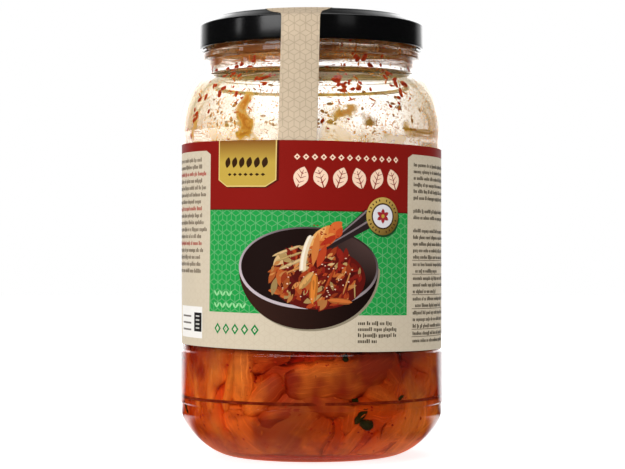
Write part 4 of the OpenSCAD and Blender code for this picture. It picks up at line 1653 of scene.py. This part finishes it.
# --- Flakes, specks and film


@dataclass
class FlakeScatter:
    """Geometry Nodes tree that strews small scraps over a surface with a fixed seed."""

    def __post_init__(self) -> None:
        """Build the tree once."""
        self.tree = bpy.data.node_groups.new("strewn flakes", "GeometryNodeTree")
        for key, kind in (("Geometry", "Geometry"), ("Flake", "Object"), ("Density", "Float"), ("Seed", "Int"),
                          ("Smallest", "Float"), ("Largest", "Float"), ("Material", "Material")):
            self.tree.interface.new_socket(key, in_out="INPUT", socket_type="NodeSocket" + kind)
        self.tree.interface.new_socket("Geometry", in_out="OUTPUT", socket_type="NodeSocketGeometry")
        add = Graph(self.tree).add
        given = add("NodeGroupInput").outputs
        cover = add("GeometryNodeInputNamedAttribute", {"Name": "cover"}, data_type="FLOAT").outputs[0]
        density = add("ShaderNodeMath", {0: cover, 1: given["Density"]}, operation="MULTIPLY").outputs[0]
        points = add("GeometryNodeDistributePointsOnFaces",
                     {"Mesh": given["Geometry"], "Density": density, "Seed": given["Seed"]},
                     distribute_method="RANDOM").outputs
        flake = add("GeometryNodeObjectInfo", {"Object": given["Flake"]}).outputs["Geometry"]
        spin = add("FunctionNodeRandomValue", {3: 2 * math.pi, "Seed": given["Seed"]}, data_type="FLOAT").outputs[1]
        turn = add("FunctionNodeEulerToRotation", {0: add("ShaderNodeCombineXYZ", {2: spin}).outputs[0]}).outputs[0]
        turned = add("FunctionNodeRotateRotation", {0: points["Rotation"], 1: turn}, rotation_space="LOCAL")
        size = add("FunctionNodeRandomValue", {2: given["Smallest"], 3: given["Largest"]}, data_type="FLOAT")
        placed = add("GeometryNodeInstanceOnPoints", {
            "Points": points["Points"], "Instance": flake, "Rotation": turned.outputs[0], "Scale": size.outputs[1],
        })
        real = add("GeometryNodeRealizeInstances", {0: placed.outputs[0]}).outputs[0]
        dressed = add("GeometryNodeSetMaterial", {"Geometry": real, "Material": given["Material"]}).outputs[0]
        add("NodeGroupOutput", {0: dressed})

    def strew(self, name: str, surface: bpy.types.Object, **values: object) -> bpy.types.Object:
        """Run the tree on a surface and keep only the strewn scraps as a plain mesh."""
        worker = surface.modifiers.new("strew", "NODES")
        worker.node_group = self.tree
        for item in self.tree.interface.items_tree:
            if item.in_out == "INPUT" and item.name in values:
                worker[item.identifier] = values[item.name]
        depsgraph = bpy.context.evaluated_depsgraph_get()
        depsgraph.update()
        mesh = bpy.data.meshes.new_from_object(surface.evaluated_get(depsgraph))
        mesh.name = name
        piece = linked(name, mesh)
        bpy.data.objects.remove(surface, do_unlink=True)
        return piece


def flake_shape(name: str, seed: int, reach: float, rise: float, thickness: float, sides: int = 7) -> bpy.types.Object:
    """Make one small ragged plate, in metres when scaled by one."""
    draw = random.Random(seed)
    vertices = []
    for (level, share), side in product(((-0.5, 0.8), (0.0, 1.0), (0.5, 0.75)), range(sides)):
        angle, far = 2 * math.pi * side / sides, share * draw.uniform(0.7, 1.15)
        vertices.append((reach * far * math.cos(angle) * MM, rise * far * math.sin(angle) * MM,
                         (level + draw.uniform(-0.2, 0.2)) * thickness * MM))
    faces = [tuple(reversed(range(sides))), tuple(range(2 * sides, 3 * sides))]
    faces += [tuple((ring + r) * sides + s % sides for r, s in ((0, side), (0, side + 1), (1, side + 1), (1, side)))
              for ring in range(2) for side in range(sides)]
    piece = mesh_object(name, vertices, faces, 80.0)
    bpy.context.scene.collection.objects.unlink(piece)
    return piece


def heaped(
    places: Sequence[Sequence[float]], angle: float, height: float, start: float = 0.0, power: int = 2,
    sway: float = 0.0,
) -> float:
    """Sum of soft patches on the wall."""
    total = start
    for middle, level, around, up, weight in places:
        off = (math.degrees(angle) - middle + 180.0) % 360.0 - 180.0
        off += sway * math.sin(height * 0.55 + middle)
        total += weight * math.exp(-((off / around) ** 2) - ((height - level) / up) ** power)
    return total


@dataclass
class WallDressing:
    """What clings to the inside of the glass, above the level and below it."""

    jar: GlassJar
    fill: KimchiFill

    def __post_init__(self) -> None:
        """Place the smears and patches, each with angle, height, spread round and up, and weight."""
        self.smears = (
            (-31.0, 137.0, 2.6, 9.5, 0.9), (-27.0, 131.0, 2.2, 5.0, 0.5), (15.0, 138.0, 5.0, 3.2, 0.7),
            (-64.0, 133.0, 2.4, 5.0, 0.4), (47.0, 133.0, 3.0, 3.0, 0.35), (150.0, 138.0, 4.0, 8.0, 0.6),
            (-140.0, 136.0, 5.0, 6.0, 0.5), (95.0, 140.0, 3.0, 7.0, 0.5), (-98.0, 141.0, 3.5, 7.0, 0.5),
        )
        self.patches = (
            (-50.0, 153.0, 5.0, 3.0, 1.6), (-44.0, 148.0, 4.0, 3.0, 2.0), (-39.0, 151.5, 3.0, 2.0, 1.8),
            (-22.0, 149.5, 4.0, 3.0, 1.6), (-33.0, 142.5, 5.0, 3.0, 1.8), (-63.0, 144.0, 4.0, 4.0, 1.4),
            (-64.0, 139.0, 4.0, 3.0, 1.2), (-53.0, 138.0, 4.0, 2.5, 1.2), (-70.0, 134.0, 4.0, 2.0, 1.0),
            (13.0, 148.5, 4.0, 4.0, 2.2), (22.0, 148.0, 2.5, 2.0, 1.6), (16.0, 143.0, 3.0, 2.5, 1.2),
            (41.0, 153.0, 4.0, 4.0, 1.8), (50.0, 146.0, 2.5, 2.5, 1.4), (44.0, 142.5, 3.0, 2.0, 1.4),
            (32.0, 140.0, 4.0, 1.5, 1.0), (30.0, 160.0, 6.0, 2.5, 2.0), (40.0, 156.0, 4.0, 2.0, 2.0),
            (-38.0, 158.0, 10.0, 3.0, 1.4), (180.0, 143.0, 30.0, 8.0, 0.4), (120.0, 147.0, 20.0, 8.0, 0.4),
            (-120.0, 142.0, 24.0, 9.0, 0.4),
        )
        self.fine = ((41.0, 131.0, 14.0, 4.0, 3.0), (-45.0, 152.0, 14.0, 4.0, 3.0))

    def carrier(self, zone: Colour, cover: Callable[[float, float], float]) -> bpy.types.Object:
        """A sleeve just inside the wall that carries strewn scraps."""
        low, high, inset = zone
        rows, segments = max(2, int((high - low) / 1.5)), 180
        vertices, shares = [], []
        for row in range(rows + 1):
            height = low + (high - low) * row / rows
            radius = self.fill.inner_radius(height) - inset
            for angle in (2 * math.pi * step / segments - math.pi for step in range(segments)):
                vertices.append((radius * math.sin(angle) * MM, -radius * math.cos(angle) * MM, height * MM))
                shares.append(max(0.0, cover(angle, height)))
        faces = [tuple((row + r) * segments + s % segments for r, s in ((0, at), (0, at + 1), (1, at + 1), (1, at)))
                 for row in range(rows) for at in range(segments)]
        piece = mesh_object("carrier", vertices, faces, outward=False)
        for item, share in zip(piece.data.attributes.new("cover", "FLOAT", "POINT").data, shares):
            item.value = share
        return piece

    def film(self, finish: WallFilm) -> bpy.types.Object:
        """The thin film on the wall of the head space."""
        heights = [self.fill.level + 0.4 + i * (self.jar.height - 4.0 - self.fill.level) / 48 for i in range(49)]
        outer = [(self.fill.inner_radius(z) + 0.09, z) for z in heights]
        inner = [(r - 0.06, z) for r, z in reversed(outer)]
        piece = lathe("wall_film", outer + inner, 256, closed=True, sharp_angle=80.0)
        store = piece.data.attributes.new("film", "FLOAT_VECTOR", "POINT")
        for item, vertex in zip(store.data, piece.data.vertices):
            angle, height = math.atan2(vertex.co.x, -vertex.co.y), vertex.co.z / MM
            drip = min(heaped(self.smears, angle, height, power=4, sway=1.6), 1.0)
            item.vector = (drip, self.low_film(angle, height), abs(math.sin(angle)) ** 6)
        return fix(piece, Slot.KIMCHI, finish.build())

    def low_film(self, angle: float, height: float) -> float:
        """Share of orange film near the level, which climbs higher at both sides."""
        climb = 12.0 + 10.0 * abs(math.sin(angle)) ** 5
        climb += 6.0 * noise.noise(Vector((math.sin(angle) * 4.0, math.cos(angle) * 4.0, height / 16.0)))
        return held(1.0 - (height - self.fill.level - 1.0) / max(climb, 1.0))

    def clusters(self, angle: float, height: float) -> float:
        """Cover of chilli flakes in the head space, gathered in patches."""
        return heaped(self.patches, angle, height, 0.04 + (0.25 if height > 154.0 else 0.0))

    def speckled(self, angle: float, height: float) -> float:
        """Cover of fine specks, thickest low on the right and on the left shoulder."""
        uneven = noise.noise(Vector((math.sin(angle) * 2.0, math.cos(angle) * 2.0, height / 14.0)))
        return heaped(self.fine, angle, height, 0.2 + 1.4 * max(0.0, uneven))

    def build(self, film: WallFilm, dark: FoodScrap, orange: FoodScrap) -> None:
        """Dress the wall."""
        scatter = FlakeScatter()
        flake = flake_shape("flake_shape", 3, 0.75, 0.5, 0.16)
        sliver = flake_shape("sliver_shape", 5, 1.1, 0.28, 0.14)
        self.film(film)
        chilli, pulp = dark.build(), orange.build()
        head = (self.fill.level + 2.0, self.jar.height - 6.0, -0.04)
        brine = (7.0, self.fill.window_top, 0.6)
        for name, shape, density, seed, small, large, material, zone, cover in (
            ("flakes_on_wall", flake, 64000.0, 11, 0.8, 2.4, chilli, head, self.clusters),
            ("slivers_on_wall", sliver, 45000.0, 12, 0.5, 1.7, pulp, head, self.clusters),
            ("specks_on_wall", flake, 230000.0, 13, 0.13, 0.42, pulp, head, self.speckled),
            ("flakes_in_brine", flake, 22000.0, 14, 0.3, 1.0, chilli, brine, lambda a, z: 1.0),
            ("pulp_in_brine", sliver, 16000.0, 15, 0.4, 1.3, pulp, brine, lambda a, z: 1.0),
        ):
            piece = scatter.strew(name, self.carrier(zone, cover), Flake=shape, Density=density, Seed=seed,
                                  Smallest=small, Largest=large, Material=material)
            fix(piece, Slot.KIMCHI, material)


# --- Stage


@dataclass
class Studio:
    """Floor, soft lights, surroundings and camera."""

    eye: Colour = (0.0004, -0.770, 0.0827)
    camera_tilt: float = 0.604
    lens: float = 106.6
    floor_r: float = 3.0
    painted_glow_colour: Colour = (0.85, 0.26, 0.15)
    soft_tone: float = 0.38
    room_tone: float = 0.03
    flag_tone: float = 0.15
    flag_start: float = 0.35
    flag_end: float = -0.3

    def floor(self) -> None:
        """A plain pale floor, whose front half doesn't show as a haze in the glass, and which glows a painted
        orange-red under the jar for light that comes through the kimchi.
        """
        material, graph, shader, output = Finish("floor_paper", (0.7, 0.7, 0.7), 0.9, specular=0.1).start()
        graph.feed(shader.inputs["Emission Color"], WHITE)
        graph.feed(shader.inputs["Emission Strength"], 0.78)
        ray, spot = graph.add("ShaderNodeLightPath").outputs, graph.spot()
        behind, reach = graph.split(spot)[1], graph.vector("LENGTH", spot)
        plain = graph.math("MAXIMUM", ray["Is Camera Ray"], ray["Is Diffuse Ray"])
        beyond = graph.times(ray["Is Transmission Ray"], graph.ramp(behind, -0.09, -0.03))
        close = graph.times(graph.ramp(reach, 0.1, 0.16, (1.0, 0.0)), graph.ramp(behind, 0.0, 0.04))
        rearward = graph.ramp(graph.math("DIVIDE", behind, reach), 0.72, 0.88)
        far = graph.times(graph.ramp(reach, 0.16, 0.3), rearward)
        glanced = graph.times(ray["Is Glossy Ray"], graph.math("MAXIMUM", close, far))
        shown = graph.math("MAXIMUM", plain, graph.math("MAXIMUM", beyond, glanced))
        # Painted glow: where the floor under the jar is seen through the glass and not shown plainly, it emits
        # orange-red for light coming through the kimchi; elsewhere this shader is black.
        painted_glow_share = graph.ramp(reach, 0.046, 0.058, (1.0, 0.0))
        dark = graph.add("ShaderNodeEmission", {"Color": self.painted_glow_colour, "Strength": painted_glow_share})
        graph.feed(output.inputs["Surface"], graph.either(shown, dark, shader))
        piece = lathe("floor", [(0.0, 0.0), (self.floor_r / MM, 0.0), (self.floor_r / MM, -4.0), (0.0, -4.0)], 96)
        piece.location.z = -0.0002
        piece.data.materials.append(material)

    def lamp(self, name: str, place: Colour, size: Vec2, power: float) -> None:
        """One soft rectangular light, aimed at the jar, that the camera doesn't see."""
        data = bpy.data.lights.new(name, "AREA")
        data.shape = "RECTANGLE"
        data.size, data.size_y = size
        data.energy = power
        lamp = bpy.data.objects.new(name, data)
        lamp.location = place
        lamp.rotation_euler = (Vector((0.0, 0.0, 0.09)) - Vector(place)).to_track_quat("-Z", "Y").to_euler()
        lamp.visible_camera = False
        bpy.context.scene.collection.objects.link(lamp)

    def surroundings(self) -> None:
        """White surroundings that look dim in glossy reflections from the front."""
        world = bpy.data.worlds.new("studio")
        bpy.context.scene.world = world
        world.use_nodes = True
        world.node_tree.nodes.clear()
        graph = Graph(world.node_tree)
        ray = graph.add("ShaderNodeLightPath").outputs
        across, behind, _ = graph.split(graph.add("ShaderNodeTexCoord").outputs["Generated"])
        through = ray["Is Transmission Ray"]
        seen = graph.ramp(behind, self.flag_end, self.flag_start, (self.flag_tone, 1.0))
        strength = graph.times(ray["Is Glossy Ray"], graph.ramp(behind, 0.62, 0.85, (self.room_tone, 1.0)))
        open_air = graph.ramp(across, -0.6, 0.9, (self.soft_tone * 1.1, self.soft_tone * 0.55))
        soft = graph.math("MAXIMUM", through, open_air)
        scattered = graph.math("GREATER_THAN", ray["Diffuse Depth"], 0.5)
        for share, value in ((through, seen), (scattered, soft), (ray["Is Camera Ray"], 1.0)):
            strength = graph.add("ShaderNodeMix", {0: share, 2: strength, 3: value}, data_type="FLOAT").outputs[0]
        white = graph.add("ShaderNodeBackground", {"Color": WHITE, "Strength": strength}).outputs[0]
        graph.add("ShaderNodeOutputWorld", {0: white})

    def camera(self) -> None:
        """The camera at the front."""
        data = bpy.data.cameras.new("camera")
        data.lens = self.lens
        data.sensor_width = 36.0
        data.clip_start = 0.01
        camera = bpy.data.objects.new("camera", data)
        camera.location = self.eye
        camera.rotation_euler = (math.radians(90.0 + self.camera_tilt), 0.0, 0.0)
        bpy.context.scene.collection.objects.link(camera)
        bpy.context.scene.camera = camera

    def build(self) -> None:
        """Set the stage."""
        self.floor()
        self.surroundings()
        self.camera()
        for lamp in (
            ("key_left", (-0.75, -0.95, 0.62), (0.6, 0.8), 5.4), ("fill_right", (0.65, -0.93, 0.55), (0.35, 0.5), 0.3),
            ("side_left", (-1.0, -0.24, 0.36), (0.09, 0.25), 0.2), ("top", (0.0, 0.1, 1.1), (0.9, 0.9), 3.5),
            ("back", (0.0, 1.1, 0.3), (1.4, 0.9), 5.0),
        ):
            self.lamp(*lamp)
        view = bpy.context.scene.view_settings
        view.view_transform = "Standard"
        view.look = "None"


def main() -> None:
    """Build every piece in order."""
    logging.basicConfig(level=logging.INFO, format="%(name)s: %(message)s")
    groups = Groups()

    def scrap(
        name: str, first: Colour, second: Colour, roughness: float = 0.5, specular: float = 0.1, **more: float
    ) -> FoodScrap:
        """A mottled finish between two tones."""
        return FoodScrap(name, first, roughness, specular=specular, groups=groups, second=second, **more)

    Studio().build()
    jar, lid, sheet = GlassJar(), LugLid(), LabelSheet()
    fill = KimchiFill(jar)
    jar.build(
        ClearGlass("clear_glass", WHITE, 0.0, ior=1.5),
        ClearGlass("wetted_glass", WHITE, 0.0, ior=1.12, waviness=0.0), fill.level - 0.3,
    )
    lid.build(
        Enamel("black_enamel", srgb(8, 8, 9), 0.14), Enamel("inside_lacquer", srgb(226, 214, 190), 0.3),
        Finish("sealing_compound", srgb(196, 190, 180), 0.6),
    )
    sheet.build(LatticePaper(
        "label_cream", srgb(211, 197, 173), 0.6, specular=0.15, groups=groups, line=srgb(196, 178, 150)))
    LabelArt(sheet).build(PrintedInk("label_ink", (0.5, 0.5, 0.5), 0.5, specular=0.05, groups=groups))
    SealStrip(jar, lid, sheet).build(LatticePaper(
        "strip_cream", srgb(212, 192, 165), 0.7, specular=0.1, groups=groups, line=srgb(150, 128, 104),
        line_share=0.42, unevenness=0.12))
    fill.build(
        Brine("chilli_brine", WHITE, 0.0, ior=1.0),
        scrap("packed_mass", (0.5, 0.06, 0.01), (0.7, 0.15, 0.02), scale=90.0),
        scrap("ledge_shade", (0.2, 0.018, 0.004), (0.3, 0.04, 0.008), 0.6, 0.05),
        CabbageFlesh("cabbage_flesh", (0.8, 0.4, 0.1), 0.4, specular=0.1, groups=groups),
        scrap("scallion_green", (0.035, 0.06, 0.012), (0.01, 0.03, 0.006)),
    )
    WallDressing(jar, fill).build(
        WallFilm("wall_film", (0.8, 0.6, 0.4), 0.5, specular=0.1),
        scrap("chilli_flake", (0.6, 0.06, 0.01), (0.28, 0.012, 0.003), scale=900.0),
        scrap("orange_pulp", (0.75, 0.22, 0.03), (0.5, 0.08, 0.01), scale=700.0),
    )


if __name__ == "__main__":
    main()
